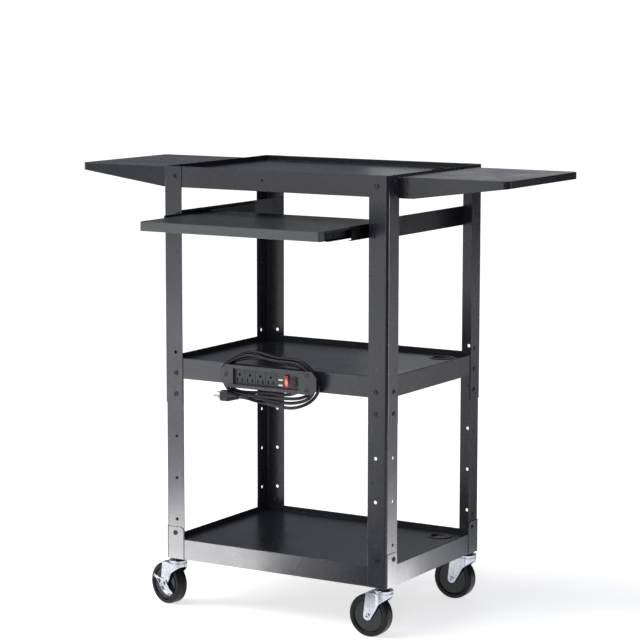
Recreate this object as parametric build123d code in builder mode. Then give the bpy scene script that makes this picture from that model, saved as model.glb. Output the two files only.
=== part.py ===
"""Audio visual cart: three steel shelves on four angle legs, two drop leaves, a slide-out
keyboard tray, a power strip with its wound cord, and four swivel casters.

All lengths are in millimetres. X runs to the right, Y to the back, Z up. The origin is on
the floor, at the centre of the four legs. The model is drawn with the tray pulled out, the
leaves up and the front left caster turned a little.
"""

from build123d import *
import math
import os

# Cart
cart_width = 610.0            # across the outer faces of the legs
cart_depth = 457.0            # across the outer faces of the legs, front to back
cart_height = 1067.0          # floor to the top of the legs
steel = 1.5                   # sheet of the legs, shelves, leaves and tray
sheet_gap = 0.3               # clearance between bent sheets and parts that pass each other
pin_gap = 0.05                # radial clearance of a pin in its hole
overrun = 3.0                 # how far a cut runs past the face that it opens

# Legs
leg_flange = 50.0             # width of each flange of a leg
leg_bend = 7.0                # outer bend radius of an upper leg
upper_leg_overlap = 22.3      # upper leg, below the bolt that joins it to the lower one
post_height = 78.8            # corner posts of the bottom shelf
post_corner_radius = 10.0     # rounded top corner of a post flange
first_hole_rise = 48.2        # lowest hole of the height setting, above the bottom shelf
hole_pitch = 101.6            # pitch of the height setting
hole_radius = 4.0             # open holes in the legs
hole_inset = 31.0             # from the leg's corner to its row of holes
lower_hole_count = 3

# Shelves
middle_shelf_rise = 37.0      # middle shelf's lip, above its bolts
bottom_shelf_top = 169.7
apron_height = 49.5
lip_height = 12.0             # lip above the shelf's floor
grommet_side_inset = 74.5     # centre of the cable hole, from the shelf's right side
grommet_back_inset = 55.0     # and from its back
grommet_flange_radius = 30.0
grommet_hole_radius = 23.0
grommet_seat_radius = 26.0    # hole in the shelf
grommet_flange = 1.6          # thickness of the grommet's flange
grommet_depth = 6.0

# Fasteners
bolt_radius = 3.0
bolt_head_radius = 5.8
bolt_head_height = 2.6
bolt_socket_width = 4.4       # across flats
bolt_socket_depth = 1.7
bolt_hole_gap = 0.2           # radial clearance of a bolt in its hole
nut_width = 10.0              # across flats
nut_height = 4.5
bolt_end = 1.5                # thread that stands past the nut
post_bolt_rise = 14.3         # above the bottom shelf's lip
post_bolt_front_inset = 26.4
post_bolt_side_inset = 33.5
top_bolt_drop = 24.0          # below the top of the legs
top_bolt_inset = 30.0
side_rivet_drops = (8.5, 44.5)
side_rivet_inset = 33.0
cable_hole_x = -30.0          # small hole in the top front apron
cable_hole_radius = 2.5

# Drop leaves
leaf_top_drop = 5.0           # below the top of the legs
leaf_side_gap = 8.0           # from the cart's side to the leaf
leaf_length = 268.0
leaf_end_inset = 48.5         # from the cart's front or back to the leaf
leaf_deep_flange = 48.5       # flange height beside the cart
leaf_edge_flange = 16.5       # flange height at the outer end
leaf_corner_radius = 15.0
leaf_heel_radius = 14.0       # lower corner beside the hinge bolt
leaf_edge_round = 1.8
leaf_pivot_inset = 9.0        # pivot, from the leaf's end beside the cart
leaf_pivot_drop = 45.0        # pivot, below the top of the legs
leaf_lock_rise = 28.0         # locking stud above the pivot
leaf_drop = 90.0              # degrees
bracket_sheet = 2.0
bracket_gap = 2.0             # between a bracket's ear and the leaf's flange
bracket_reach = 30.0          # ear, out from the cart's side
bracket_rise = 34.0           # ear, above the pivot
bracket_fall = 9.0            # ear, below the pivot
bracket_corner_radius = 8.0
bracket_bolt_y = 60.0
bracket_bolt_drop = 31.0      # below the top of the legs
lock_slot_turn = 45.0         # degrees that the stud's slot opens outward
leaf_washer_radius = 5.5

# Keyboard tray and its slides
tray_side_space = 64.0        # from the cart's side to the tray
tray_depth = 324.0
tray_rise = 12.5              # tray's top, above the slides' centre line
tray_lip = 22.0
tray_nose = 22.0              # tray's front, past the front of its slide members
tray_corner_radius = 6.0
tray_edge_round = 1.8
slide_length = 300.0
slide_front_inset = 20.5      # front end of a closed slide, from the cart's front
tray_pull = 190.0             # how far the tray is out
slide_sheet = 1.2
slide_height = 35.0           # outer member
slide_drop = 126.0            # slides' centre line, below the top of the legs
slide_bar_depth = 9.5         # inner member, from the tray out
slide_inner_height = 20.5
slide_lip = 8.0               # flange of the middle member
cage_length = 120.0
cage_inset = 15.0             # cages, behind the middle member's front
slide_hole_radius = 3.5       # hole in the middle member
slide_hole_inset = 47.0       # behind the member's front
slide_rivet_radius = 3.2      # rivets of the inner members
slide_rivet_height = 1.5
slide_rivet_insets = (38.0, 150.0)   # behind the member's front
rail_height = 46.0
rail_tab = 29.0
rail_bolt_inset = 39.0
rail_bolt_rises = (-13.0, 14.0)   # above the slides' centre line

# Casters
stem_side_inset = 19.0        # caster's stem, from the cart's side
stem_front_inset = 21.5       # and from its front or back
wheel_radius = 50.8
wheel_width = 30.0
wheel_trail = 33.0            # axle behind the stem
tyre_depth = 13.0
tyre_round = 5.0
tyre_lip_round = 1.5          # inner edge of the tyre
hub_width = 26.0
hub_boss_radius = 11.0
hub_boss_width = 32.0
hub_rim_width = 2.6           # step around the disc, beside the tyre
hub_rim_depth = 2.0
axle_radius = 4.0
axle_head_radius = 6.0
axle_head_height = 2.6
axle_recess_radius = 2.6      # hollow end of the axle
axle_recess_depth = 4.0
fork_sheet = 2.5
fork_crown_top = 105.5
fork_crown_radius = 22.5
fork_throat = 2.0             # inner corner of the slanting front edge, behind the stem
fork_throat_height = 81.0
fork_leg_back = 37.0          # leg's back edge, behind the stem
fork_nose = 6.5               # height of the wall at the crown's front
fork_end_radius = 10.5
fork_side_gap = 0.5           # between the wheel's boss and the fork
race_radius = 22.5
race_step = 2.0               # lower race, smaller than the upper one
race_height = 4.0
race_gap = 0.3
race_round = 1.5
stem_boss_radius = 14.0
stem_radius = 5.0
stem_end = 132.5              # top of the threaded stem
stem_rivet_radius = 8.0
stem_rivet_height = 2.0
stem_nut_width = 16.0
stem_nut_height = 6.0
gusset_size = 62.0
gusset_sheet = 3.0
turned_caster_angle = 14.5    # degrees, front left caster
lever_sheet = 2.0
lever_rib = 3.5               # rim that stands out along the lever's lower edge
lever_rim = 1.8
lever_boss_radius = 13.0

# Power strip
strip_drop = 26.0             # centre of the strip, below the middle shelf's lip
strip_plate_left = -128.0     # plate's ends
strip_plate_right = 132.5
strip_height = 54.0
strip_chamfer_length = 13.5
strip_chamfer_height = 12.5
strip_plate_sheet = 2.0
strip_depth = 25.0            # housing, from the shelf's apron to the plate
strip_left = -97.0            # housing ends
strip_right = 87.0
strip_housing_height = 42.0
strip_wall = 2.0
strip_face_recess = 6.0       # outlet face behind the plate's front
strip_face_sheet = 3.0
strip_corner_radius = 2.0
strip_hole_radius = 3.6
strip_hole_places = ((-115.0, 2.0), (105.6, 17.0), (105.6, -17.0))   # x and height from the centre
strip_screw_x = 60.0
strip_screw_depth = 6.0
strip_panel_left = 23.5       # the switch panel runs from here to the housing's right end
plate_screw_head_radius = 4.6
plate_screw_head_height = 1.4
plate_screw_radius = 3.4
plate_screw_end = 2.0         # thread that stands past the plate
outlet_first_x = -79.8
outlet_pitch = 28.6
outlet_count = 4
outlet_rise = 4.4             # ground hole above the centre line
outlet_drop = 8.1             # slots below the centre line
outlet_ground_radius = 3.2
outlet_slot_spacing = 13.5
outlet_slot_width = 3.0
outlet_slot_height = 9.0
outlet_frame_height = 32.0
outlet_frame_step = 0.8
usb_x = 32.4
usb_rise = 0.6                # upper tongue above the centre line
usb_drop = 12.0               # lower tongue below it
usb_width = 13.0
usb_height = 7.6
usb_tongue_width = 12.0
usb_tongue_height = 3.2
usb_well_drop = 1.9           # centre of a port's well, below its tongue
rocker_x = 49.5
rocker_drop = 2.4             # below the centre line
rocker_length = 31.5
rocker_width = 11.2
rocker_swell = 2.0            # ends stand out past the middle
rocker_middle = 3.0           # middle of the paddle, out from its pivot
rocker_back = 4.0             # back of the paddle, in from its pivot
rocker_slot_gap = 0.5
rocker_tilt = 8.0             # degrees either way
breaker_x = 70.2
breaker_drop = 1.2            # below the centre line
breaker_button_radius = 7.8
breaker_ring_radius = 12.4
breaker_ring_height = 2.2
breaker_reach = 5.0           # button, out from the face
breaker_dome = 1.6

# Cord of the power strip
cord_diameter = 7.8
cord_turn_gap = 0.6           # between neighbouring turns
cord_turns = 3
cord_first_radius = 33.5      # first run, down from the winding's centre
cord_right_x = 78.0           # centre of the right-hand bends
cord_left_x = -84.0           # centre of the left-hand bends
cord_winding_reach = 11.0     # winding, out from the shelf's apron
cord_winding_drop = 0.5       # winding's centre, below the strip's
cord_tilt = 4.0               # degrees, the winding droops to the right
cord_exit_x = 34.0            # where the first run has come level
cord_exit_bend = 40.0         # radius of the bend below the gland
cord_exit_angle = 28.0        # degrees
cord_end_x = 14.0             # where the winding becomes the tail
gland_radius = 6.0
tail_lead = 22.0              # first run of the tail, in line with the winding
tail_bends = ((-36.0, 20.5, 55.0), (-58.0, 29.0, 47.5))   # x, out from the apron, below the strip
tail_end_bend = (-78.5, 29.0, 47.5)
bend_share = 0.45             # share of the shorter run that an arc takes

# Plug
plug_length = 46.0
plug_neck_radius = 6.0
plug_shoulder = 26.0          # from the cord to the full size
plug_height = 25.0
plug_width = 23.0
plug_nose_inset = 1.5
plug_round = 6.0
blade_spacing = 12.7
blade_thickness = 1.6
blade_width = 6.4
blade_length = 15.5
blade_offset = 3.5            # blades and ground pin, from the plug's centre line
ground_offset = 8.0
ground_radius = 2.4
ground_length = 18.0

# Shares that shape rounded heads, hems and the brake lever
head_round_share = 0.75
hem_round_share = 0.9
lever_edge_shares = ((0.62, 0.30), (0.30, 0.14), (0.0, -0.24), (-0.32, -0.44), (-0.62, -0.44))
lever_back_shares = ((-0.70, -0.34), (-0.46, -0.20), (-0.22, 0.12), (0.0, 0.27), (0.32, 0.27), (0.64, 0.40))
gap_points = 60               # points on each run when the winding's least gap is measured

# Derived places
half_width = cart_width / 2
half_depth = cart_depth / 2
shelf_x = half_width - steel
shelf_y = half_depth - steel
shelf_corner_radius = leg_bend - steel + sheet_gap
bottom_skirt = bottom_shelf_top - apron_height
post_bolt_height = bottom_shelf_top + post_bolt_rise
first_hole_height = bottom_shelf_top + first_hole_rise
leg_bolt_height = first_hole_height + lower_hole_count * hole_pitch
shelf_bolt_height = leg_bolt_height + hole_pitch / 2
upper_hole_height = leg_bolt_height + hole_pitch
upper_leg_bottom = leg_bolt_height - upper_leg_overlap
middle_shelf_top = shelf_bolt_height + middle_shelf_rise
shelf_tops = {"top_shelf": cart_height, "middle_shelf": middle_shelf_top, "bottom_shelf": bottom_shelf_top}
grommet_x = shelf_x - grommet_side_inset
grommet_y = shelf_y - grommet_back_inset
top_bolt_height = cart_height - top_bolt_drop
side_rivet_heights = [cart_height - drop for drop in side_rivet_drops]
leaf_depth = cart_depth - 2 * leaf_end_inset
leaf_top = cart_height - leaf_top_drop
leaf_near = half_width + leaf_side_gap
leaf_far = leaf_near + leaf_length
leaf_pivot_x = leaf_near + leaf_pivot_inset
leaf_pivot_height = cart_height - leaf_pivot_drop
bracket_bolt_height = cart_height - bracket_bolt_drop
tray_width = cart_width - 2 * tray_side_space
slide_front = -half_depth + slide_front_inset
slide_middle = cart_height - slide_drop
tray_top = slide_middle + tray_rise
tray_front = slide_front - tray_pull - tray_nose
rail_bolt_x = half_width - rail_bolt_inset
rail_bolt_heights = [slide_middle + rise for rise in rail_bolt_rises]
stem_x = half_width - stem_side_inset
stem_y = half_depth - stem_front_inset
corners = {"front_left": (-1, -1), "front_right": (1, -1), "back_left": (-1, 1), "back_right": (1, 1)}
sides = {"left": -1, "right": 1}
bolt_hole_radius = bolt_radius + bolt_hole_gap
half_tray = tray_width / 2
slide_reach = half_tray + slide_bar_depth + 4 * slide_sheet
rail_inner_x = slide_reach

os.makedirs("parts", exist_ok=True)


def save(piece, name):
    """Label a finished piece and write it."""
    piece.part.label = name
    export_step(piece.part, f"parts/{name}.step")


def facing(x, y, z, out):
    """Plane at a point whose normal points along out, a unit direction."""
    across = (1, 0, 0) if out[0] == 0 else (0, 1, 0)
    return Plane(origin=(x, y, z), x_dir=across, z_dir=out)


def discs(planes, radius):
    """Circles on several planes, as one sketch."""
    with BuildSketch(*planes) as sketch:
        Circle(radius)
    return sketch.sketch


def front_and_side(sx, sy, inset, height):
    """Planes on the two outer faces of a leg, at one height and one inset from its corner."""
    front = facing(sx * (half_width - inset), sy * half_depth, height, (0, sy, 0))
    side = facing(sx * half_width, sy * (half_depth - inset), height, (sx, 0, 0))
    return [front, side]


# Legs, posts and shelves
def angle(sx, sy, reach_x, reach_y, bend, bottom, top):
    """Angle section whose corner is at (reach_x, reach_y) in the quarter of the signs."""
    x, y = sx * reach_x, sy * reach_y
    far_x, far_y = sx * (reach_x - leg_flange), sy * (reach_y - leg_flange)
    in_x, in_y = sx * (reach_x - steel), sy * (reach_y - steel)
    with BuildPart() as section:
        with BuildSketch(Plane.XY.offset(bottom)) as profile:
            with BuildLine():
                Polyline((x, y), (far_x, y), (far_x, in_y), (in_x, in_y), (in_x, far_y), (x, far_y),
                         close=True)
            make_face()
            fillet(profile.vertices().sort_by_distance((x, y, bottom))[0], bend)
            fillet(profile.vertices().sort_by_distance((in_x, in_y, bottom))[0], bend - steel)
        extrude(amount=top - bottom)
    return section


def leg(sx, sy, upper):
    """One leg: the upper one is outside, the lower one nests inside it."""
    if upper:
        blank = angle(sx, sy, half_width, half_depth, leg_bend, upper_leg_bottom, cart_height)
        open_holes = front_and_side(sx, sy, hole_inset, upper_hole_height)
        bolts = front_and_side(sx, sy, hole_inset, shelf_bolt_height)
        bolts += top_bolt_planes(sx, sy)
        bolts += [facing(sx * rail_bolt_x, sy * half_depth, z, (0, sy, 0)) for z in rail_bolt_heights]
    else:
        lower_top = middle_shelf_top - apron_height
        bend = shelf_corner_radius
        blank = angle(sx, sy, shelf_x, shelf_y, bend, bottom_shelf_top, lower_top)
        open_holes = []
        for k in range(lower_hole_count):
            open_holes += front_and_side(sx, sy, hole_inset, first_hole_height + k * hole_pitch)
        bolts = post_bolt_planes(sx, sy)
    bolts += front_and_side(sx, sy, hole_inset, leg_bolt_height)
    with BuildPart() as piece:
        add(blank.part)
        extrude(discs(bolts, bolt_hole_radius), amount=2 * overrun, both=True, mode=Mode.SUBTRACT)
        if open_holes:
            extrude(discs(open_holes, hole_radius), amount=2 * overrun, both=True, mode=Mode.SUBTRACT)
    return piece


def top_bolt_planes(sx, sy):
    """Fixings of the top shelf to one upper leg."""
    planes = [facing(sx * (half_width - top_bolt_inset), sy * half_depth, top_bolt_height, (0, sy, 0))]
    for z in side_rivet_heights:
        planes.append(facing(sx * half_width, sy * (half_depth - side_rivet_inset), z, (sx, 0, 0)))
    return planes


def post_bolt_planes(sx, sy):
    """Bolts that hold a lower leg in its corner post."""
    front = facing(sx * (half_width - post_bolt_front_inset), sy * half_depth, post_bolt_height, (0, sy, 0))
    side = facing(sx * half_width, sy * (half_depth - post_bolt_side_inset), post_bolt_height, (sx, 0, 0))
    return [front, side]


def corner_posts():
    """The four short posts around the corners of the bottom shelf."""
    top = bottom_skirt + post_height
    with BuildPart() as posts:
        for sx, sy in corners.values():
            add(angle(sx, sy, half_width, half_depth, leg_bend, bottom_skirt, top).part)
        inner_x, inner_y = half_width - leg_flange, half_depth - leg_flange
        free_top = [e for e in posts.edges()
                    if abs(e.center().Z - top) < steel / 2
                    and (abs(abs(e.center().X) - inner_x) < steel / 4
                         or abs(abs(e.center().Y) - inner_y) < steel / 4)]
        fillet(free_top, post_corner_radius)
        holes = [p for sx, sy in corners.values() for p in post_bolt_planes(sx, sy)]
        extrude(discs(holes, bolt_hole_radius), amount=2 * overrun, both=True, mode=Mode.SUBTRACT)
    return posts


def shelf_fixings(name):
    """Planes of the bolts that pass a shelf's apron."""
    planes = []
    if name == "top_shelf":
        for sx, sy in corners.values():
            planes += top_bolt_planes(sx, sy)
        planes += bracket_bolt_planes()
    if name == "middle_shelf":
        for sx, sy in corners.values():
            planes += front_and_side(sx, sy, hole_inset, shelf_bolt_height)
        planes += strip_screw_planes()
    return planes


def shelf(name):
    """A shelf: a floor with a folded lip above it and an apron below it."""
    top = shelf_tops[name]
    hem = 2 * steel
    skirt_bottom = top - apron_height
    floor_top = top - lip_height
    with BuildPart() as pan:
        with BuildSketch(Plane.XY.offset(skirt_bottom)):
            RectangleRounded(2 * shelf_x, 2 * shelf_y, shelf_corner_radius)
        extrude(amount=apron_height)
        with BuildSketch(Plane.XY.offset(skirt_bottom)):
            RectangleRounded(2 * (shelf_x - steel), 2 * (shelf_y - steel), shelf_corner_radius - steel)
        extrude(amount=apron_height - lip_height - steel, mode=Mode.SUBTRACT)
        with BuildSketch(Plane.XY.offset(floor_top)):
            RectangleRounded(2 * (shelf_x - hem), 2 * (shelf_y - hem), shelf_corner_radius - hem)
        extrude(amount=lip_height, mode=Mode.SUBTRACT)
        fillet(pan.faces().sort_by(Axis.Z)[-1].edges(), steel * hem_round_share)
        with BuildSketch(Plane.XY.offset(floor_top)):
            with Locations((grommet_x, grommet_y)):
                Circle(grommet_seat_radius)
        extrude(amount=hem, both=True, mode=Mode.SUBTRACT)
        fixings = shelf_fixings(name)
        if fixings:
            extrude(discs(fixings, bolt_hole_radius), amount=3 * overrun, both=True, mode=Mode.SUBTRACT)
        if name == "top_shelf":
            spot = facing(cable_hole_x, -shelf_y, top_bolt_height, (0, -1, 0))
            extrude(discs([spot], cable_hole_radius), amount=overrun, both=True, mode=Mode.SUBTRACT)
    return pan


def grommets():
    """Cable grommets, one in each shelf."""
    with BuildPart() as rings:
        for top in shelf_tops.values():
            floor_top = top - lip_height
            with BuildSketch(Plane.XY.offset(floor_top)):
                with Locations((grommet_x, grommet_y)):
                    Circle(grommet_flange_radius)
            extrude(amount=grommet_flange)
            with BuildSketch(Plane.XY.offset(floor_top)):
                with Locations((grommet_x, grommet_y)):
                    Circle(grommet_seat_radius - pin_gap)
            extrude(amount=-grommet_depth)
            with BuildSketch(Plane.XY.offset(floor_top + grommet_flange)):
                with Locations((grommet_x, grommet_y)):
                    Circle(grommet_hole_radius)
            extrude(amount=-grommet_flange - grommet_depth, mode=Mode.SUBTRACT)
    return rings


def gussets():
    """Plates in the corners of the bottom shelf, each with the boss that a caster hangs from."""
    boss_bottom = fork_crown_top + 2 * race_height
    stems = [(sx * stem_x, sy * stem_y) for sx, sy in corners.values()]
    with BuildPart() as plates:
        with BuildSketch(Plane.XY.offset(bottom_skirt)):
            for sx, sy in corners.values():
                reach_x = shelf_x - steel
                reach_y = shelf_y - steel
                with Locations((sx * (reach_x - gusset_size / 2), sy * (reach_y - gusset_size / 2))):
                    Rectangle(gusset_size, gusset_size)
        extrude(amount=gusset_sheet)
        outer = [e for e in plates.edges().filter_by(Axis.Z)
                 if abs(abs(e.center().X) - shelf_x + steel) < sheet_gap
                 and abs(abs(e.center().Y) - shelf_y + steel) < sheet_gap]
        fillet(outer, leg_bend)
        with BuildSketch(Plane.XY.offset(boss_bottom)):
            with Locations(*stems):
                Circle(stem_boss_radius)
        extrude(amount=bottom_skirt - boss_bottom)
        with BuildSketch(Plane.XY.offset(boss_bottom)):
            with Locations(*stems):
                Circle(stem_radius + bolt_hole_gap)
        extrude(amount=bottom_skirt + gusset_sheet - boss_bottom, mode=Mode.SUBTRACT)
    return plates


# Fasteners
def button_bolt(grip, with_nut):
    """Button-head bolt along Z, its head on the XY plane, with its nut under the grip."""
    length = grip + nut_height + bolt_end if with_nut else grip
    with BuildPart() as bolt:
        with BuildSketch():
            Circle(bolt_radius)
        extrude(amount=-length)
        with BuildSketch():
            Circle(bolt_head_radius)
        extrude(amount=bolt_head_height)
        fillet(bolt.faces().sort_by(Axis.Z)[-1].edges(), bolt_head_height * head_round_share)
        with BuildSketch(Plane.XY.offset(bolt_head_height)):
            RegularPolygon(bolt_socket_width / 2, 6, major_radius=False)
        extrude(amount=-bolt_socket_depth, mode=Mode.SUBTRACT)
        if with_nut:
            with BuildSketch(Plane.XY.offset(-grip)):
                RegularPolygon(nut_width / 2, 6, major_radius=False)
                Circle(bolt_radius + pin_gap, mode=Mode.SUBTRACT)
            extrude(amount=-nut_height)
    return bolt


def bolt_set(planes, grip, with_nut):
    """The same bolt at each of the planes."""
    pattern = button_bolt(grip, with_nut)
    with BuildPart() as group:
        with Locations(*[plane.location for plane in planes]):
            add(pattern.part)
    return group


def bracket_bolt_planes():
    """Bolts of the two leaf brackets through the top shelf's side aprons."""
    face_x = shelf_x + bracket_sheet
    return [facing(s * face_x, y, bracket_bolt_height, (s, 0, 0))
            for s in sides.values() for y in (-bracket_bolt_y, bracket_bolt_y)]


def strip_screw_planes():
    """Screws that hold the power strip, driven from inside the middle shelf's apron."""
    height = strip_centre_height
    return [facing(x, -(shelf_y - steel), height, (0, 1, 0)) for x in (-strip_screw_x, strip_screw_x)]


def plate_screws():
    """Small screws in the corners of the power strip's plate."""
    with BuildPart() as screws:
        with BuildSketch(upright(strip_plate_front)):
            with Locations(*strip_hole_places):
                Circle(plate_screw_head_radius)
        extrude(amount=plate_screw_head_height)
        with BuildSketch(upright(strip_plate_front)):
            with Locations(*strip_hole_places):
                Circle(plate_screw_radius)
        extrude(amount=-strip_plate_sheet - plate_screw_end)
        with BuildSketch(upright(strip_plate_front - plate_screw_head_height)):
            with Locations(*strip_hole_places):
                RegularPolygon(bolt_socket_width / 2, 6, major_radius=False)
        extrude(amount=-plate_screw_head_height, mode=Mode.SUBTRACT)
    return screws


def frame_bolts():
    """Every bolt and rivet of the frame, each with its nut where it has one."""
    joints, posts, shelf_sides, tops, rivets = [], [], [], [], []
    for sx, sy in corners.values():
        joints += front_and_side(sx, sy, hole_inset, leg_bolt_height)
        posts += post_bolt_planes(sx, sy)
        shelf_sides += front_and_side(sx, sy, hole_inset, shelf_bolt_height)
        tops += top_bolt_planes(sx, sy)[:1]
        rivets += top_bolt_planes(sx, sy)[1:]
    with BuildPart() as group:
        add(bolt_set(joints + posts + shelf_sides + tops, 2 * steel, True).part)
        add(bolt_set(rivets[0::2], 3 * steel, False).part)
        add(bolt_set(rivets[1::2], 2 * steel, False).part)
        add(bolt_set(bracket_bolt_planes(), bracket_sheet + steel, True).part)
        add(bolt_set(strip_screw_planes(), steel + strip_screw_depth, False).part)
        add(plate_screws().part)
    return group


# Drop leaves
def leaf(s):
    """A drop leaf: a sheet with tapered flanges at front and back and a rim at its outer end."""
    bottom = leaf_top - leaf_deep_flange
    half = leaf_depth / 2
    near, far = s * leaf_near, s * leaf_far
    heel_x = s * (leaf_near + 2 * leaf_heel_radius)
    with BuildPart() as sheet:
        with BuildSketch(Plane.XZ) as profile:
            with BuildLine():
                Polyline((near, leaf_top), (far, leaf_top), (far, leaf_top - leaf_edge_flange),
                         (heel_x, bottom), (near, bottom), close=True)
            make_face()
            fillet(profile.vertices().sort_by_distance((near, bottom))[0], leaf_heel_radius)
        extrude(amount=half, both=True)
        outer_edges = [e for e in sheet.edges().filter_by(Axis.Z)
                       if abs(abs(e.center().X) - leaf_far) < steel]
        fillet(outer_edges, leaf_corner_radius)
        rim = [e for e in sheet.faces().sort_by(Axis.Z)[-1].edges()
               if abs(abs(e.center().X) - leaf_near) > steel]
        fillet(rim, leaf_edge_round)
        inner_far = s * (leaf_far - steel)
        length = leaf_far - steel - leaf_near + overrun
        with BuildSketch(Plane.XY.offset(leaf_top - steel)) as hollow:
            with Locations((inner_far - s * length / 2, 0)):
                Rectangle(length, leaf_depth - 2 * steel)
            ends = [v for v in hollow.vertices() if abs(v.X - inner_far) < steel]
            fillet(ends, leaf_corner_radius - steel)
        extrude(amount=-leaf_deep_flange, mode=Mode.SUBTRACT)
        holes = [facing(s * leaf_pivot_x, sy * half, leaf_pivot_height + rise, (0, sy, 0))
                 for sy in (-1, 1) for rise in (0, leaf_lock_rise)]
        extrude(discs(holes, bolt_radius + pin_gap), amount=overrun, both=True, mode=Mode.SUBTRACT)
    return sheet


def leaf_brackets():
    """Two fixed channels on the cart's sides, whose ears carry the leaves."""
    ear_face = leaf_depth / 2 - steel - bracket_gap
    bottom = leaf_pivot_height - bracket_fall
    top = leaf_pivot_height + bracket_rise
    with BuildPart() as brackets:
        for s in sides.values():
            inner, outer = s * shelf_x, s * (shelf_x + bracket_reach)
            web_face = s * (shelf_x + bracket_sheet)
            with BuildSketch(Plane.XY.offset(bottom)):
                with BuildLine():
                    Polyline((inner, -ear_face), (outer, -ear_face), (outer, -ear_face + bracket_sheet),
                             (web_face, -ear_face + bracket_sheet), (web_face, ear_face - bracket_sheet),
                             (outer, ear_face - bracket_sheet), (outer, ear_face), (inner, ear_face),
                             close=True)
                make_face()
            extrude(amount=top - bottom)
        tips = [e for e in brackets.edges().filter_by(Axis.Y)
                if abs(abs(e.center().X) - shelf_x - bracket_reach) < bracket_sheet]
        fillet(tips, bracket_corner_radius)
        for s in sides.values():
            with BuildSketch(Plane.XZ):
                with Locations((s * leaf_pivot_x, leaf_pivot_height)):
                    Circle(bolt_hole_radius)
                pivot = (s * leaf_pivot_x, leaf_pivot_height)
                with BuildLine(mode=Mode.PRIVATE):
                    path = CenterArc(pivot, leaf_lock_rise, 90, -s * lock_slot_turn)
                SlotArc(path, 2 * (bolt_radius + sheet_gap))
            extrude(amount=leaf_depth, both=True, mode=Mode.SUBTRACT)
        holes = discs(bracket_bolt_planes(), bolt_hole_radius)
        extrude(holes, amount=2 * overrun, both=True, mode=Mode.SUBTRACT)
    return brackets


def leaf_pivot_bolts():
    """Shoulder bolts fixed in the ears, on which the leaves turn, with their nuts."""
    shoulder = steel + 2 * sheet_gap
    spacer = bracket_gap - sheet_gap
    ear = shoulder + spacer
    end = ear + bracket_sheet + nut_height + bolt_end
    with BuildPart() as pattern:
        with BuildSketch(Plane.XZ):
            with BuildLine():
                Polyline((0, bolt_head_height), (bolt_head_radius, bolt_head_height),
                         (bolt_head_radius, 0), (bolt_radius, 0), (bolt_radius, -shoulder),
                         (leaf_washer_radius, -shoulder), (leaf_washer_radius, -ear),
                         (bolt_radius, -ear), (bolt_radius, -end), (0, -end), close=True)
            make_face()
        revolve(axis=Axis.Z)
        fillet(pattern.faces().sort_by(Axis.Z)[-1].edges(), bolt_head_height * head_round_share)
        with BuildSketch(Plane.XY.offset(-ear - bracket_sheet)):
            RegularPolygon(nut_width / 2, 6, major_radius=False)
            Circle(bolt_radius + pin_gap, mode=Mode.SUBTRACT)
        extrude(amount=-nut_height)
    face = leaf_depth / 2 + sheet_gap
    planes = [facing(s * leaf_pivot_x, sy * face, leaf_pivot_height, (0, sy, 0))
              for s in sides.values() for sy in (-1, 1)]
    with BuildPart() as bolts:
        with Locations(*[plane.location for plane in planes]):
            add(pattern.part)
    return bolts


def leaf_lock_studs(s):
    """Studs on one leaf that drop into the slots of the bracket's ears."""
    height = leaf_pivot_height + leaf_lock_rise
    planes = [facing(s * leaf_pivot_x, sy * leaf_depth / 2, height, (0, sy, 0)) for sy in (-1, 1)]
    return bolt_set(planes, steel + bracket_gap + bracket_sheet, False)


# Keyboard tray and slides
def tray():
    """Keyboard tray: a sheet with a lip all round that hangs between the slides."""
    back = tray_front + tray_depth
    middle = (tray_front + back) / 2
    with BuildPart() as pan:
        with BuildSketch(Plane.XY.offset(tray_top)):
            with Locations((0, middle)):
                RectangleRounded(tray_width, tray_depth, tray_corner_radius)
        extrude(amount=-tray_lip)
        fillet(pan.faces().sort_by(Axis.Z)[-1].edges(), tray_edge_round)
        with BuildSketch(Plane.XY.offset(tray_top - steel)):
            with Locations((0, middle)):
                RectangleRounded(tray_width - 2 * steel, tray_depth - 2 * steel, tray_corner_radius - steel)
        extrude(amount=-tray_lip, mode=Mode.SUBTRACT)
    return pan


def channel(s, back_x, lip_x, height, front):
    """Slide member: a web at back_x with two lips that reach to lip_x, one slide long."""
    web = back_x + slide_sheet if lip_x > back_x else back_x - slide_sheet
    low, high = slide_middle - height / 2, slide_middle + height / 2
    with BuildPart() as member:
        with BuildSketch(Plane.XZ.offset(-front)):
            with BuildLine():
                Polyline((s * back_x, low), (s * lip_x, low), (s * lip_x, low + slide_sheet),
                         (s * web, low + slide_sheet), (s * web, high - slide_sheet),
                         (s * lip_x, high - slide_sheet), (s * lip_x, high), (s * back_x, high),
                         close=True)
            make_face()
        extrude(amount=-slide_length)
    return member


def slide_outer_members():
    """Fixed members, on the rails."""
    lip = rail_inner_x - slide_sheet - slide_lip - sheet_gap
    with BuildPart() as members:
        for s in sides.values():
            add(channel(s, rail_inner_x, lip, slide_height, slide_front).part)
    return members


def middle_height():
    """Height of a middle member: it runs inside the outer one."""
    return slide_height - 2 * slide_sheet - 2 * sheet_gap


def middle_back():
    """Outer face of a middle member's web."""
    return rail_inner_x - slide_sheet - 2 * sheet_gap


def slide_middle_member(s):
    """Middle member, half as far out as the tray."""
    back = middle_back()
    front = slide_front - tray_pull / 2
    with BuildPart() as member:
        add(channel(s, back, back - slide_lip, middle_height(), front).part)
        spot = facing(s * back, front + slide_hole_inset, slide_middle, (s, 0, 0))
        extrude(discs([spot], slide_hole_radius), amount=overrun, both=True, mode=Mode.SUBTRACT)
    return member


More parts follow.
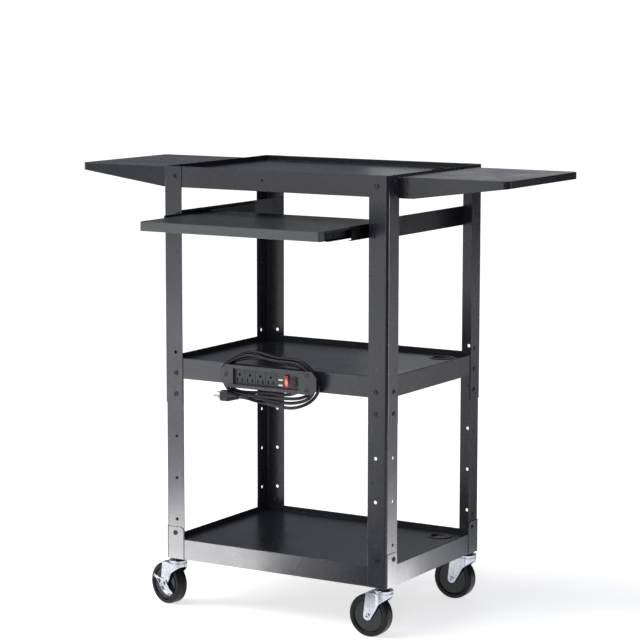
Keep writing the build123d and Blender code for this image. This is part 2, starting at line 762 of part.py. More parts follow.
def slide_cages(s):
    """Bearing strips that fill the middle member above and below the inner one."""
    back = middle_back() - slide_sheet
    lip = middle_back() - slide_lip
    inner_half = middle_height() / 2 - slide_sheet
    strip = inner_half - slide_inner_height / 2 - sheet_gap
    front = slide_front - tray_pull / 2 + cage_inset
    with BuildPart() as cages:
        for up in (-1, 1):
            centre_z = slide_middle + up * (inner_half - strip / 2)
            with Locations((s * (back + lip) / 2, front + cage_length / 2, centre_z)):
                Box(abs(back - lip), cage_length, strip)
    return cages


def slide_inner_members():
    """Members on the tray's sides, with the rivets that hold them."""
    front = slide_front - tray_pull
    with BuildPart() as members:
        for s in sides.values():
            lip = half_tray + slide_bar_depth
            add(channel(s, half_tray, lip, slide_inner_height, front).part)
        spots = [facing(s * (half_tray + slide_sheet), front + inset, slide_middle, (s, 0, 0))
                 for s in sides.values() for inset in slide_rivet_insets]
        extrude(discs(spots, slide_rivet_radius), amount=slide_rivet_height)
    return members


def tray_rails():
    """Rails between the upper legs that carry the slides, with a tab bolted at each end."""
    end = shelf_y
    bottom = slide_middle - rail_height / 2
    with BuildPart() as rails:
        for s in sides.values():
            inner, outer = s * rail_inner_x, s * (rail_inner_x + steel)
            tab = s * (rail_inner_x + rail_tab)
            with BuildSketch(Plane.XY.offset(bottom)):
                with BuildLine():
                    Polyline((inner, -end), (tab, -end), (tab, -end + steel), (outer, -end + steel),
                             (outer, end - steel), (tab, end - steel), (tab, end), (inner, end), close=True)
                make_face()
            extrude(amount=rail_height)
        holes = discs(rail_bolt_planes(), bolt_hole_radius)
        extrude(holes, amount=3 * overrun, both=True, mode=Mode.SUBTRACT)
    return rails


def rail_bolt_planes():
    """Bolts of the rails, through the front and back flanges of the upper legs."""
    return [facing(sx * rail_bolt_x, sy * half_depth, z, (0, sy, 0))
            for sx, sy in corners.values() for z in rail_bolt_heights]


# Casters
def stance(name):
    """Local frame of a caster: its origin on the floor under the stem, X towards the wheel."""
    sx, sy = corners[name]
    turn = 180 - turned_caster_angle if name == "front_left" else 180
    heading = (math.cos(math.radians(turn)), math.sin(math.radians(turn)), 0)
    return Plane(origin=(sx * stem_x, sy * stem_y, 0), x_dir=heading, z_dir=(0, 0, 1))


def side_plane(base, out=0.0):
    """Upright plane along the caster's travel, out from its middle."""
    return Plane(origin=base.from_local_coords((0, out, 0)), x_dir=base.x_dir, z_dir=-base.y_dir)


def axle_plane(base):
    """Upright plane across the caster, with its origin at the axle's middle."""
    middle = base.from_local_coords((wheel_trail, 0, wheel_radius))
    return Plane(origin=middle, x_dir=base.y_dir, z_dir=base.x_dir)


def axle_axis(base):
    """The caster's axle line."""
    return Axis(origin=base.from_local_coords((wheel_trail, 0, wheel_radius)), direction=base.y_dir)


def fork_outline(half, radius, reach):
    """Plan of the fork from its round crown back along its legs, as a closed shape."""
    with BuildSketch() as plan:
        Circle(radius)
        with Locations((reach / 2, 0)):
            Rectangle(reach, 2 * half)
    return plan.sketch


def fork_side(base):
    """Side view of the fork: a leg that narrows to the axle, and the slanting wall in front."""
    with BuildSketch(side_plane(base)) as side:
        with Locations((wheel_trail, wheel_radius)):
            Circle(fork_end_radius)
        with BuildLine():
            Polyline((fork_throat, fork_throat_height), (fork_throat, fork_crown_top),
                     (fork_leg_back, fork_crown_top), close=True)
        make_face()
        make_hull()
        with BuildLine():
            Polyline((fork_throat, fork_throat_height), (-fork_crown_radius, fork_crown_top - fork_nose),
                     (-fork_crown_radius, fork_crown_top), (fork_throat, fork_crown_top), close=True)
        make_face()
    return side.sketch


def fork(base):
    """Stamped fork: a round crown whose wall runs on into two legs, with the lower race on top."""
    inner = hub_boss_width / 2 + fork_side_gap
    outer = inner + fork_sheet
    toe = wheel_trail + fork_end_radius
    with BuildPart() as piece:
        with BuildSketch(base):
            add(fork_outline(outer, fork_crown_radius, toe))
        extrude(amount=fork_crown_top)
        with BuildSketch(base):
            add(fork_outline(inner, fork_crown_radius - fork_sheet, toe + overrun))
        extrude(amount=fork_crown_top - fork_sheet, mode=Mode.SUBTRACT)
        extrude(fork_side(base), amount=2 * outer, both=True, mode=Mode.INTERSECT)
        with BuildSketch(base.offset(fork_crown_top)):
            Circle(race_radius - race_step)
        extrude(amount=race_height - race_gap)
        with BuildSketch(base.offset(fork_crown_top + race_height)):
            Circle(stem_radius + pin_gap)
        extrude(amount=-race_height - 2 * fork_sheet, mode=Mode.SUBTRACT)
        with BuildSketch(side_plane(base)):
            with Locations((wheel_trail, wheel_radius)):
                Circle(axle_radius + bolt_hole_gap)
        extrude(amount=2 * outer, both=True, mode=Mode.SUBTRACT)
    return piece


def caster_stems():
    """Fixed parts of the four casters: upper race, stem, lower rivet head and nut."""
    race_bottom = fork_crown_top + race_height
    rivet_top = fork_crown_top - fork_sheet - race_gap
    with BuildPart() as stems:
        for name in corners:
            base = stance(name)
            with BuildSketch(base.offset(race_bottom)):
                Circle(race_radius)
            extrude(amount=race_height)
            fillet(stems.edges().filter_by(GeomType.CIRCLE).sort_by_distance(
                base.from_local_coords((0, 0, race_bottom + race_height)))[:1], race_round)
            with BuildSketch(base.offset(rivet_top)):
                Circle(stem_radius)
            extrude(amount=stem_end - rivet_top)
            with BuildSketch(base.offset(rivet_top)):
                Circle(stem_rivet_radius)
            extrude(amount=-stem_rivet_height)
            with BuildSketch(base.offset(bottom_skirt + gusset_sheet)):
                RegularPolygon(stem_nut_width / 2, 6, major_radius=False)
            extrude(amount=stem_nut_height)
    return stems


def tyre(base):
    """Solid tyre with a rounded tread."""
    half = wheel_width / 2
    inner = wheel_radius - tyre_depth
    with BuildPart() as ring:
        with BuildSketch(axle_plane(base)) as profile:
            with BuildLine():
                Polyline((-half, inner), (half, inner), (half, wheel_radius), (-half, wheel_radius),
                         close=True)
            make_face()
            fillet(profile.vertices().group_by(Axis.Z)[-1], tyre_round)
            fillet(profile.vertices().group_by(Axis.Z)[0], tyre_lip_round)
        revolve(axis=axle_axis(base))
    return ring


def hub(base):
    """Wheel disc with a boss in the middle and a lower step beside the tyre."""
    half = hub_width / 2
    boss = hub_boss_width / 2
    rim = wheel_radius - tyre_depth
    bore = axle_radius + pin_gap
    step = rim - hub_rim_width
    floor = half - hub_rim_depth
    with BuildPart() as disc:
        with BuildSketch(axle_plane(base)):
            with BuildLine():
                Polyline((-boss, bore), (boss, bore), (boss, hub_boss_radius), (half, hub_boss_radius),
                         (half, step), (floor, step), (floor, rim), (-floor, rim), (-floor, step),
                         (-half, step), (-half, hub_boss_radius), (-boss, hub_boss_radius), close=True)
            make_face()
        revolve(axis=axle_axis(base))
    return disc


def lever_face():
    """Distance of the brake lever's inner face from the caster's middle."""
    return hub_boss_width / 2 + fork_side_gap + fork_sheet + sheet_gap


def axle(base, braked):
    """Hollow-ended axle with its two heads; it is longer where it also carries a brake lever."""
    left = hub_boss_width / 2 + fork_side_gap + fork_sheet
    right = lever_face() + lever_sheet + sheet_gap if braked else left
    end_left, end_right = -left - axle_head_height, right + axle_head_height
    head, hollow = axle_head_radius, axle_recess_radius
    frame = axle_plane(base)
    with BuildPart() as bolt:
        with BuildSketch(frame) as profile:
            with BuildLine():
                Polyline((end_left + axle_recess_depth, 0), (end_right - axle_recess_depth, 0),
                         (end_right - axle_recess_depth, hollow), (end_right, hollow),
                         (end_right, head), (right, head), (right, axle_radius),
                         (-left, axle_radius), (-left, head), (end_left, head),
                         (end_left, hollow), (end_left + axle_recess_depth, hollow), close=True)
            make_face()
            tips = [frame.from_local_coords((x, head, 0)) for x in (end_left, end_right)]
            rims = [profile.vertices().sort_by_distance(tip)[0] for tip in tips]
            fillet(rims, axle_head_height * head_round_share)
        revolve(axis=axle_axis(base))
    return bolt


def brake_lever(base):
    """Side brake lever that turns on the axle, with a raised rim along its lower edge."""
    edge = [(x * wheel_radius + wheel_trail, z * wheel_radius + wheel_radius) for x, z in lever_edge_shares]
    back = [(x * wheel_radius + wheel_trail, z * wheel_radius + wheel_radius) for x, z in lever_back_shares]
    face = side_plane(base, lever_face() + lever_sheet)
    with BuildPart() as lever:
        with BuildSketch(face):
            with BuildLine():
                rim = Spline(*edge)
                Polyline(rim @ 1, *back, rim @ 0)
            make_face()
            with Locations((wheel_trail, wheel_radius)):
                Circle(lever_boss_radius)
                Circle(axle_radius + pin_gap, mode=Mode.SUBTRACT)
        extrude(amount=lever_sheet)
        with BuildSketch(face):
            with BuildLine():
                Spline(*edge)
            trace(line_width=lever_rim)
            with Locations((wheel_trail, wheel_radius)):
                Circle(axle_head_radius + sheet_gap, mode=Mode.SUBTRACT)
        extrude(amount=-lever_rib)
    return lever


# Power strip
strip_centre_height = middle_shelf_top - strip_drop
strip_back = -shelf_y
strip_front = strip_back - strip_depth
strip_plate_front = strip_front - strip_plate_sheet
strip_face_front = strip_plate_front + strip_face_recess
strip_middle = (strip_left + strip_right) / 2
strip_length = strip_right - strip_left
usb_heights = (usb_rise, -usb_drop)


def upright(y):
    """Plane that faces the front at a depth, with its origin at the power strip's height."""
    return Plane(origin=(0, y, strip_centre_height), x_dir=(1, 0, 0), z_dir=(0, -1, 0))


def strip_plate():
    """Long mounting plate with chamfered ends, over the housing."""
    with BuildPart() as plate:
        with BuildSketch(upright(strip_front)) as outline:
            with Locations(((strip_plate_left + strip_plate_right) / 2, 0)):
                Rectangle(strip_plate_right - strip_plate_left, strip_height)
            chamfer(outline.vertices(), strip_chamfer_length, strip_chamfer_height)
            with Locations((strip_middle, 0)):
                RectangleRounded(strip_length - 2 * strip_wall, strip_housing_height - 2 * strip_wall,
                                 strip_corner_radius, mode=Mode.SUBTRACT)
            with Locations(*strip_hole_places):
                Circle(strip_hole_radius, mode=Mode.SUBTRACT)
        extrude(amount=strip_plate_sheet)
    return plate


def gland_frame():
    """Frame at the gland's mouth: Z along the way that the cord leaves."""
    start = winding_frame().from_local_coords(gland_mouth())
    heading = winding_frame().from_local_coords(gland_heading()) - winding_frame().origin
    return Plane(origin=start, x_dir=(0, 1, 0), z_dir=heading)


def strip_housing():
    """Housing behind the plate, with the moulded gland of the cord under it."""
    with BuildPart() as box:
        with BuildSketch(gland_frame().offset(-gland_root())):
            Circle(gland_radius)
        extrude(amount=gland_root())
        with BuildSketch(upright(strip_back)):
            with Locations((strip_middle, 0)):
                RectangleRounded(strip_length, strip_housing_height, strip_corner_radius)
        extrude(amount=strip_depth)
        with BuildSketch(upright(strip_back - strip_wall)):
            with Locations((strip_middle, 0)):
                Rectangle(strip_length - 2 * strip_wall, strip_housing_height - 2 * strip_wall)
        extrude(amount=strip_depth, mode=Mode.SUBTRACT)
        add(switch_panel().part)
        for plane in strip_screw_planes():
            with BuildSketch(upright(strip_back)):
                with Locations((plane.origin.X, 0)):
                    Circle(bolt_radius + strip_wall)
            extrude(amount=strip_screw_depth + strip_wall)
            with BuildSketch(upright(strip_back)):
                with Locations((plane.origin.X, 0)):
                    Circle(bolt_radius + pin_gap)
            extrude(amount=strip_screw_depth + pin_gap, mode=Mode.SUBTRACT)
    return box


def switch_panel():
    """Panel of the ports, the rocker and the breaker, across the right end of the window."""
    left, right = strip_panel_left + sheet_gap, strip_right - strip_wall
    wells = [(usb_x, height - usb_well_drop) for height in usb_heights]
    with BuildPart() as panel:
        with BuildSketch(upright(strip_face_front + strip_face_sheet)):
            with Locations(((left + right) / 2, 0)):
                Rectangle(right - left, strip_housing_height - 2 * strip_wall)
            with Locations((rocker_x, -rocker_drop)):
                Rectangle(rocker_width + 2 * rocker_slot_gap, rocker_length + 4 * rocker_slot_gap,
                          mode=Mode.SUBTRACT)
            with Locations((breaker_x, -breaker_drop)):
                Circle(breaker_button_radius + sheet_gap, mode=Mode.SUBTRACT)
        extrude(amount=strip_face_sheet)
        with BuildSketch(upright(strip_face_front)):
            with Locations(*wells):
                Rectangle(usb_width, usb_height)
        extrude(amount=steel - strip_face_sheet, mode=Mode.SUBTRACT)
    return panel


def strip_face():
    """Outlet face, set back in the plate's window, left of the switch panel."""
    left = strip_left + strip_wall + sheet_gap / 2
    half = outlet_slot_spacing / 2
    with BuildPart() as face:
        with BuildSketch(upright(strip_face_front + strip_face_sheet)):
            with Locations(((left + strip_panel_left) / 2, 0)):
                Rectangle(strip_panel_left - left, strip_housing_height - 2 * strip_wall - sheet_gap)
            for k in range(outlet_count):
                x = outlet_first_x + k * outlet_pitch
                with Locations((x, outlet_rise)):
                    Circle(outlet_ground_radius, mode=Mode.SUBTRACT)
                with Locations((x - half, -outlet_drop), (x + half, -outlet_drop)):
                    Rectangle(outlet_slot_width, outlet_slot_height, mode=Mode.SUBTRACT)
        extrude(amount=strip_face_sheet)
        with BuildSketch(upright(strip_face_front)):
            for k in range(outlet_count):
                with Locations((outlet_first_x + (k + 1 / 2) * outlet_pitch, 0)):
                    Rectangle(outlet_frame_step, outlet_frame_height)
        extrude(amount=-outlet_frame_step, mode=Mode.SUBTRACT)
    return face


def strip_usb_ports():
    """Pale tongues of the two charging ports, on the floors of their wells."""
    with BuildPart() as ports:
        with BuildSketch(upright(strip_face_front + strip_face_sheet - steel)):
            with Locations(*[(usb_x, height) for height in usb_heights]):
                Rectangle(usb_tongue_width, usb_tongue_height)
        extrude(amount=steel)
    return ports


def strip_rocker():
    """Lit rocker switch, at rest in its on position."""
    pivot = (rocker_x, strip_face_front + strip_face_sheet / 2, strip_centre_height - rocker_drop)
    lean = math.radians(rocker_tilt)
    paddle_plane = Plane(origin=pivot, x_dir=(0, -math.sin(lean), math.cos(lean)), z_dir=(-1, 0, 0))
    half = rocker_length / 2
    with BuildPart() as paddle:
        with BuildSketch(paddle_plane):
            with BuildLine():
                Polyline((-half, -rocker_back), (-half, rocker_middle + rocker_swell), (0, rocker_middle),
                         (half, rocker_middle + rocker_swell), (half, -rocker_back), close=True)
            make_face()
        extrude(amount=rocker_width / 2, both=True)
    return paddle


def strip_breaker_button():
    """Push button of the circuit breaker."""
    base = Plane(origin=(breaker_x, strip_face_front + strip_face_sheet, strip_centre_height - breaker_drop),
                 x_dir=(1, 0, 0), z_dir=(0, -1, 0))
    with BuildPart() as button:
        with BuildSketch(base.offset(-strip_face_sheet)):
            Circle(breaker_button_radius)
        extrude(amount=2 * strip_face_sheet + breaker_reach)
        fillet(button.faces().sort_by(Axis.Y)[0].edges(), breaker_dome)
    return button


def strip_breaker_ring():
    """Bright ring around the breaker's button."""
    with BuildPart() as ring:
        with BuildSketch(upright(strip_face_front)):
            with Locations((breaker_x, -breaker_drop)):
                Circle(breaker_ring_radius)
                Circle(breaker_button_radius + sheet_gap, mode=Mode.SUBTRACT)
        extrude(amount=breaker_ring_height)
        fillet(ring.faces().sort_by(Axis.Y)[0].edges().sort_by(SortBy.RADIUS)[-1], breaker_ring_height / 2)
    return ring


# Cord and plug
cord_radius = cord_diameter / 2
cord_pitch = cord_diameter + cord_turn_gap
cord_winding_y = strip_back - cord_winding_reach
cord_winding_height = strip_centre_height - cord_winding_drop


def below_strip(bend):
    """Point of the tail, from its x, its reach out from the apron and its drop below the strip."""
    x, reach, drop = bend
    return (x, strip_back - reach, strip_centre_height - drop)


tail_end = below_strip(tail_end_bend)


def winding_frame():
    """Frame of the winding: X along its runs, Y up across them."""
    lean = math.radians(cord_tilt)
    return Plane(origin=(0, cord_winding_y, cord_winding_height), x_dir=(math.cos(lean), 0, -math.sin(lean)),
                 z_dir=(0, -1, 0))


def gland_heading():
    """Way that the cord leaves the gland, in the winding's frame: to the left and down."""
    slope = math.radians(cord_exit_angle)
    return (-math.cos(slope), -math.sin(slope), 0)


def bend_start():
    """Start of the bend that brings the cord level on its first run."""
    slope = math.radians(cord_exit_angle)
    rise = cord_exit_bend * (1 - math.cos(slope))
    return (cord_exit_x + cord_exit_bend * math.sin(slope), -cord_first_radius + rise)


def gland_mouth():
    """Where the cord leaves the gland, one diameter before the bend."""
    x, y = bend_start()
    heading = gland_heading()
    return (x - heading[0] * cord_diameter, y - heading[1] * cord_diameter, 0)


def gland_root():
    """Length of the gland back to the housing's floor."""
    mouth = winding_frame().from_local_coords(gland_mouth())
    floor = strip_centre_height - strip_housing_height / 2
    heading = winding_frame().from_local_coords(gland_heading()) - winding_frame().origin
    return (floor + strip_wall / 2 - mouth.Z) / -heading.Z


def winding_arcs():
    """Centre, radius and side of each half turn of the spiral, outward and clockwise."""
    arcs = []
    for k in range(2 * cord_turns):
        radius = cord_first_radius + cord_pitch / 4 + k * cord_pitch / 2
        left = k % 2 == 0
        centre = (cord_left_x, cord_pitch / 4) if left else (cord_right_x, -cord_pitch / 4)
        arcs.append((centre, radius, left))
    return arcs


def winding_end():
    """End of the winding, on the last run along the bottom, in its own frame."""
    return (cord_end_x, -cord_first_radius - cord_turns * cord_pitch)


def cord_winding():
    """The cord wound behind the plate: one unbroken tube with all its turns."""
    frame = winding_frame()
    with BuildLine(frame) as path:
        here = gland_mouth()[:2]
        start = bend_start()
        Line(here, start)
        level = (cord_exit_x, -cord_first_radius)
        RadiusArc(start, level, cord_exit_bend)
        here = level
        for centre, radius, left in winding_arcs():
            below = (centre[0], centre[1] - radius)
            above = (centre[0], centre[1] + radius)
            enter, leave = (below, above) if left else (above, below)
            side = (centre[0] + (-radius if left else radius), centre[1])
            Line(here, enter)
            ThreePointArc(enter, side, leave)
            here = leave
        Line(here, winding_end())
    with BuildPart() as tube:
        with BuildSketch(Plane(origin=path.wire() @ 0, z_dir=path.wire() % 0)):
            Circle(cord_radius)
        sweep(path=path.wire())
    report_tube("cord_winding", tube, path.wire())
    return tube


def winding_gap():
    """Least gap of the winding to itself, measured on points of its centre line."""
    points, lengths = [], []
    travelled = 0.0
    runs = winding_arcs()
    here = (cord_exit_x, -cord_first_radius)
    for centre, radius, left in runs:
        enter = (centre[0], centre[1] - radius if left else centre[1] + radius)
        straight = math.dist(here, enter)
        for i in range(gap_points):
            share = i / gap_points
            x = here[0] + (enter[0] - here[0]) * share
            points.append((x, here[1] + (enter[1] - here[1]) * share))
            lengths.append(travelled + straight * share)
        travelled += straight
        begin = -90 if left else 90
        for i in range(gap_points):
            turn = math.radians(begin - 180 * i / gap_points)
            points.append((centre[0] + radius * math.cos(turn), centre[1] + radius * math.sin(turn)))
            lengths.append(travelled + math.pi * radius * i / gap_points)
        travelled += math.pi * radius
        here = (centre[0], centre[1] + radius if left else centre[1] - radius)
    apart = cord_first_radius * math.pi
    spots = list(zip(points, lengths))
    least = min(math.dist(p, q) for p, a in spots for q, b in spots if b - a > apart)
    return least - cord_diameter


def cord_tail():
    """Free end of the cord, from the winding to the plug."""
    end_x, end_y = winding_end()
    start = tuple(winding_frame().from_local_coords((end_x, end_y, 0)))
    lead = tuple(winding_frame().from_local_coords((end_x - tail_lead, end_y, 0)))
    points = [start, lead, *[below_strip(bend) for bend in tail_bends], tail_end]
    runs = [math.dist(a, b) for a, b in zip(points, points[1:])]
    radii = []
    for i in range(1, len(points) - 1):
        before = Vector(*points[i]) - Vector(*points[i - 1])
        after = Vector(*points[i + 1]) - Vector(*points[i])
        half_turn = math.radians(before.get_angle(after)) / 2
        radii.append(bend_share * min(runs[i - 1], runs[i]) / math.tan(half_turn))
    print("cord_tail radii", [round(r, 1) for r in radii])
    with BuildLine() as path:
        FilletPolyline(*points, radius=radii)
    with BuildPart() as tube:
        with BuildSketch(Plane(origin=path.wire() @ 0, z_dir=path.wire() % 0)):
            Circle(cord_radius)
        sweep(path=path.wire())
    report_tube("cord_tail", tube, path.wire())
    return tube


def report_tube(name, tube, wire):
    """Print a tube's length and how its volume compares with section times length."""
    ideal = math.pi * cord_radius ** 2 * wire.length
    print(name, "length", round(wire.length, 1), "volume share", round(tube.part.volume / ideal, 5))


def plug_plane(back):
    """Plane across the plug, back from the cord's end."""
    x, y, z = tail_end
    return Plane(origin=(x - back, y, z), x_dir=(0, 1, 0), z_dir=(-1, 0, 0))


def plug_body():
    """Moulded plug."""
    with BuildPart() as body:
        with BuildSketch(plug_plane(0)):
            Circle(plug_neck_radius)
        with BuildSketch(plug_plane(plug_shoulder)):
            RectangleRounded(plug_width, plug_height, plug_round)
        loft()
        with BuildSketch(plug_plane(plug_shoulder)):
            RectangleRounded(plug_width, plug_height, plug_round)
        extrude(amount=plug_length - plug_shoulder)
        fillet(body.faces().sort_by(Axis.X)[0].edges(), plug_nose_inset)
    return body


def plug_blades():
    """Two flat blades and a round ground pin."""
    nose = plug_plane(plug_length)
    with BuildPart() as pins:
        with BuildSketch(nose):
            with Locations((blade_offset, blade_spacing / 2), (blade_offset, -blade_spacing / 2)):
                Rectangle(blade_width, blade_thickness)
        extrude(amount=blade_length)
        with BuildSketch(nose):
            with Locations((-ground_offset, 0)):
                Circle(ground_radius)
        extrude(amount=ground_length)
    return pins


for shelf_name in shelf_tops:
    save(shelf(shelf_name), shelf_name)
save(grommets(), "cable_grommets")
save(corner_posts(), "corner_posts")
save(gussets(), "caster_gussets")
for corner, (sx, sy) in corners.items():
    save(leg(sx, sy, True), f"upper_leg_{corner}")
    save(leg(sx, sy, False), f"lower_leg_{corner}")
save(frame_bolts(), "frame_bolts")
save(leaf_brackets(), "leaf_brackets")
save(leaf_pivot_bolts(), "leaf_pivot_bolts")
for side, s in sides.items():
    save(leaf(s), f"leaf_{side}")
    save(leaf_lock_studs(s), f"leaf_lock_studs_{side}")
    save(slide_middle_member(s), f"slide_middle_{side}")
    save(slide_cages(s), f"slide_cages_{side}")
save(tray(), "keyboard_tray")
save(slide_outer_members(), "slide_outer_members")
save(slide_inner_members(), "slide_inner_members")
save(tray_rails(), "tray_rails")
save(bolt_set(rail_bolt_planes(), 2 * steel, True), "rail_bolts")
save(caster_stems(), "caster_stems")
for corner in corners:
    base = stance(corner)
    braked = corner.endswith("left")
    save(fork(base), f"caster_fork_{corner}")
    save(tyre(base), f"caster_tyre_{corner}")
    save(hub(base), f"caster_hub_{corner}")
    save(axle(base, braked), f"caster_axle_{corner}")
    if braked:
        save(brake_lever(base), f"brake_lever_{corner}")
save(strip_housing(), "strip_housing")
save(strip_plate(), "strip_plate")
save(strip_face(), "strip_face")
save(strip_usb_ports(), "strip_usb_ports")
save(strip_rocker(), "strip_rocker")
save(strip_breaker_button(), "strip_breaker_button")
save(strip_breaker_ring(), "strip_breaker_ring")
save(cord_winding(), "cord_winding")
save(cord_tail(), "cord_tail")
save(plug_body(), "plug_body")
save(plug_blades(), "plug_blades")
print("least gap of the winding to itself", round(winding_gap(), 3))
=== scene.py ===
"""Studio scene of the audio visual cart: finishes for its steel, rubber and plastic pieces,
the loosely wound cord of its power strip, and the light and camera of the picture."""

import logging
import math
from dataclasses import dataclass, field
from enum import Enum

import bpy
from mathutils import Matrix, Vector


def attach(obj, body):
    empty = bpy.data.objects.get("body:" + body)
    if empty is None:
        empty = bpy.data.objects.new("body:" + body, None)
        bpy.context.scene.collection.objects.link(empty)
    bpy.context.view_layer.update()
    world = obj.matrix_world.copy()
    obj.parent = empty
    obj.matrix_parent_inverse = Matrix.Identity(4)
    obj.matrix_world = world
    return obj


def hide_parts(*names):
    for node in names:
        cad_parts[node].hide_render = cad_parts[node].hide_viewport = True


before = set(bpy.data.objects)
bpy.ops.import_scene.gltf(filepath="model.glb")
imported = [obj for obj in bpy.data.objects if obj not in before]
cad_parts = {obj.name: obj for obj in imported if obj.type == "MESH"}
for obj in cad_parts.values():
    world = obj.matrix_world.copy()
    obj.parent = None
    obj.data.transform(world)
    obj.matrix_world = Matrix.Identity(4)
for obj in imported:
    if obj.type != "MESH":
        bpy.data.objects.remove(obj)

LOG = logging.getLogger("cart")
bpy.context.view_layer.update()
CORNERS = ("front_left", "front_right", "back_left", "back_right")
SIDES = ("left", "right")

MM_PER_M = 1000.0
PLATING_CLOUDS = 2.3
RUB_MARKS = 4.0

Colour = tuple[float, float, float]
Place = tuple[float, float, float]
Given = bpy.types.NodeSocket | float | tuple[float, ...]


# Helpers
@dataclass(frozen=True)
class Noise:
    """The shape of one cloudy pattern.

    Attributes:
        detail: How many finer layers it has.
        roughness: Share of its strength that each finer layer keeps.
        start: Value of the noise at which the pattern begins.
        full: Value of the noise at which it is full.
        stretch: Scale along X, Y and Z, where it isn't the same every way.
    """

    detail: float
    roughness: float = 0.5
    start: float = 0.0
    full: float = 1.0
    stretch: Place | None = None


class Graph:
    """A node tree that is being written, with short ways to add and join nodes."""

    def __init__(self, tree: bpy.types.NodeTree) -> None:
        """Start on an empty tree.

        Args:
            tree: The tree of a material, a world or a node group.
        """
        self.tree = tree
        tree.nodes.clear()

    def add(self, kind: str, **values: object) -> bpy.types.Node:
        """Add a node and set its fields.

        Args:
            kind: Node type name.
            values: Attribute names and values of the node.

        Returns:
            The new node.
        """
        node = self.tree.nodes.new(kind)
        for name, value in values.items():
            setattr(node, name, value)
        return node

    def feed(self, given: Given, target: bpy.types.NodeSocket) -> None:
        """Join an output to an input, or set the input's own value.

        Args:
            given: Output socket, number, or colour with its alpha.
            target: Input socket.
        """
        if isinstance(given, bpy.types.NodeSocket):
            self.tree.links.new(given, target)
        else:
            target.default_value = given

    def sum_up(self, operation: str, *given: Given) -> bpy.types.NodeSocket:
        """Add a sum.

        Args:
            operation: What it does with its values.
            given: Its values in order.

        Returns:
            The result's output.
        """
        node = self.add("ShaderNodeMath", operation=operation)
        for value, target in zip(given, node.inputs):
            self.feed(value, target)
        return node.outputs["Value"]

    def span(self, source: Given, start: float, full: float, low: Given = 0.0, high: Given = 1.0,
             shape: str = "LINEAR") -> bpy.types.NodeSocket:
        """Spread a value between two limits.

        Args:
            source: The value's output.
            start: Value that gives the low limit.
            full: Value that gives the high limit.
            low: The low limit.
            high: The high limit.
            shape: How it goes from one to the other.

        Returns:
            The result's output.
        """
        node = self.add("ShaderNodeMapRange", interpolation_type=shape)
        sockets = ("Value", "From Min", "From Max", "To Min", "To Max")
        for label, value in zip(sockets, (source, start, full, low, high)):
            self.feed(value, node.inputs[label])
        return node.outputs["Result"]

    def effect(self, group: bpy.types.NodeTree, **values: float) -> bpy.types.NodeSocket:
        """Place a shared effect with its own values.

        Args:
            group: The effect's node group.
            values: Input names, with underscores for spaces, and their values.

        Returns:
            The effect's only output.
        """
        node = self.add("ShaderNodeGroup")
        node.node_tree = group
        for name, value in values.items():
            node.inputs[name.replace("_", " ")].default_value = value
        return node.outputs[0]

    def blend(self, base: bpy.types.NodeSocket | Colour, over: Colour,
              mask: bpy.types.NodeSocket) -> bpy.types.NodeSocket:
        """Lay one colour over another where a mask says.

        Args:
            base: Colour or colour output below.
            over: Colour above.
            mask: Output that gives the share of the upper colour.

        Returns:
            The blended colour's output.
        """
        mix = self.add("ShaderNodeMix", data_type="RGBA")
        self.feed(base if isinstance(base, bpy.types.NodeSocket) else (*base, 1.0), mix.inputs["A"])
        self.feed((*over, 1.0), mix.inputs["B"])
        self.feed(mask, mix.inputs["Factor"])
        return mix.outputs["Result"]


class EffectGraph(Graph):
    """The node group of one shared effect, with named inputs and one named output."""

    def __init__(self, name: str, inputs: dict[str, float], output: str,
                 kind: str = "NodeSocketFloat") -> None:
        """Make the group and its sockets.

        Args:
            name: Name of the group.
            inputs: Float inputs and their defaults.
            output: Name of the output.
            kind: Socket type of the output.
        """
        group = bpy.data.node_groups.new(name, "ShaderNodeTree")
        super().__init__(group)
        sockets = group.interface
        for label, value in inputs.items():
            socket = sockets.new_socket(label, in_out="INPUT", socket_type="NodeSocketFloat")
            socket.default_value = value
        sockets.new_socket(output, in_out="OUTPUT", socket_type=kind)
        self.given, self.out = self.add("NodeGroupInput"), self.add("NodeGroupOutput")
        self.place = self.add("ShaderNodeTexCoord")

    def value(self, label: str) -> bpy.types.NodeSocket:
        """Give the output of one of the group's inputs."""
        return self.given.outputs[label]

    def noise(self, pattern: Noise, scale: Given) -> bpy.types.NodeSocket:
        """Add a cloudy pattern that stays on its piece.

        Args:
            pattern: Its shape.
            scale: Patches per metre.

        Returns:
            The noise's output.
        """
        place = self.place.outputs["Object"]
        if pattern.stretch:
            stretched = self.add("ShaderNodeMapping")
            self.feed(place, stretched.inputs["Vector"])
            self.feed(pattern.stretch, stretched.inputs["Scale"])
            place = stretched.outputs["Vector"]
        cloud = self.add("ShaderNodeTexNoise", noise_dimensions="3D")
        for label, value in (("Vector", place), ("Scale", scale), ("Detail", pattern.detail),
                             ("Roughness", pattern.roughness)):
            self.feed(value, cloud.inputs[label])
        return cloud.outputs["Fac"]

    def end(self, result: bpy.types.NodeSocket) -> bpy.types.NodeTree:
        """Send the result out.

        Args:
            result: The output that holds it.

        Returns:
            The finished group.
        """
        self.feed(result, self.out.inputs[0])
        return self.tree


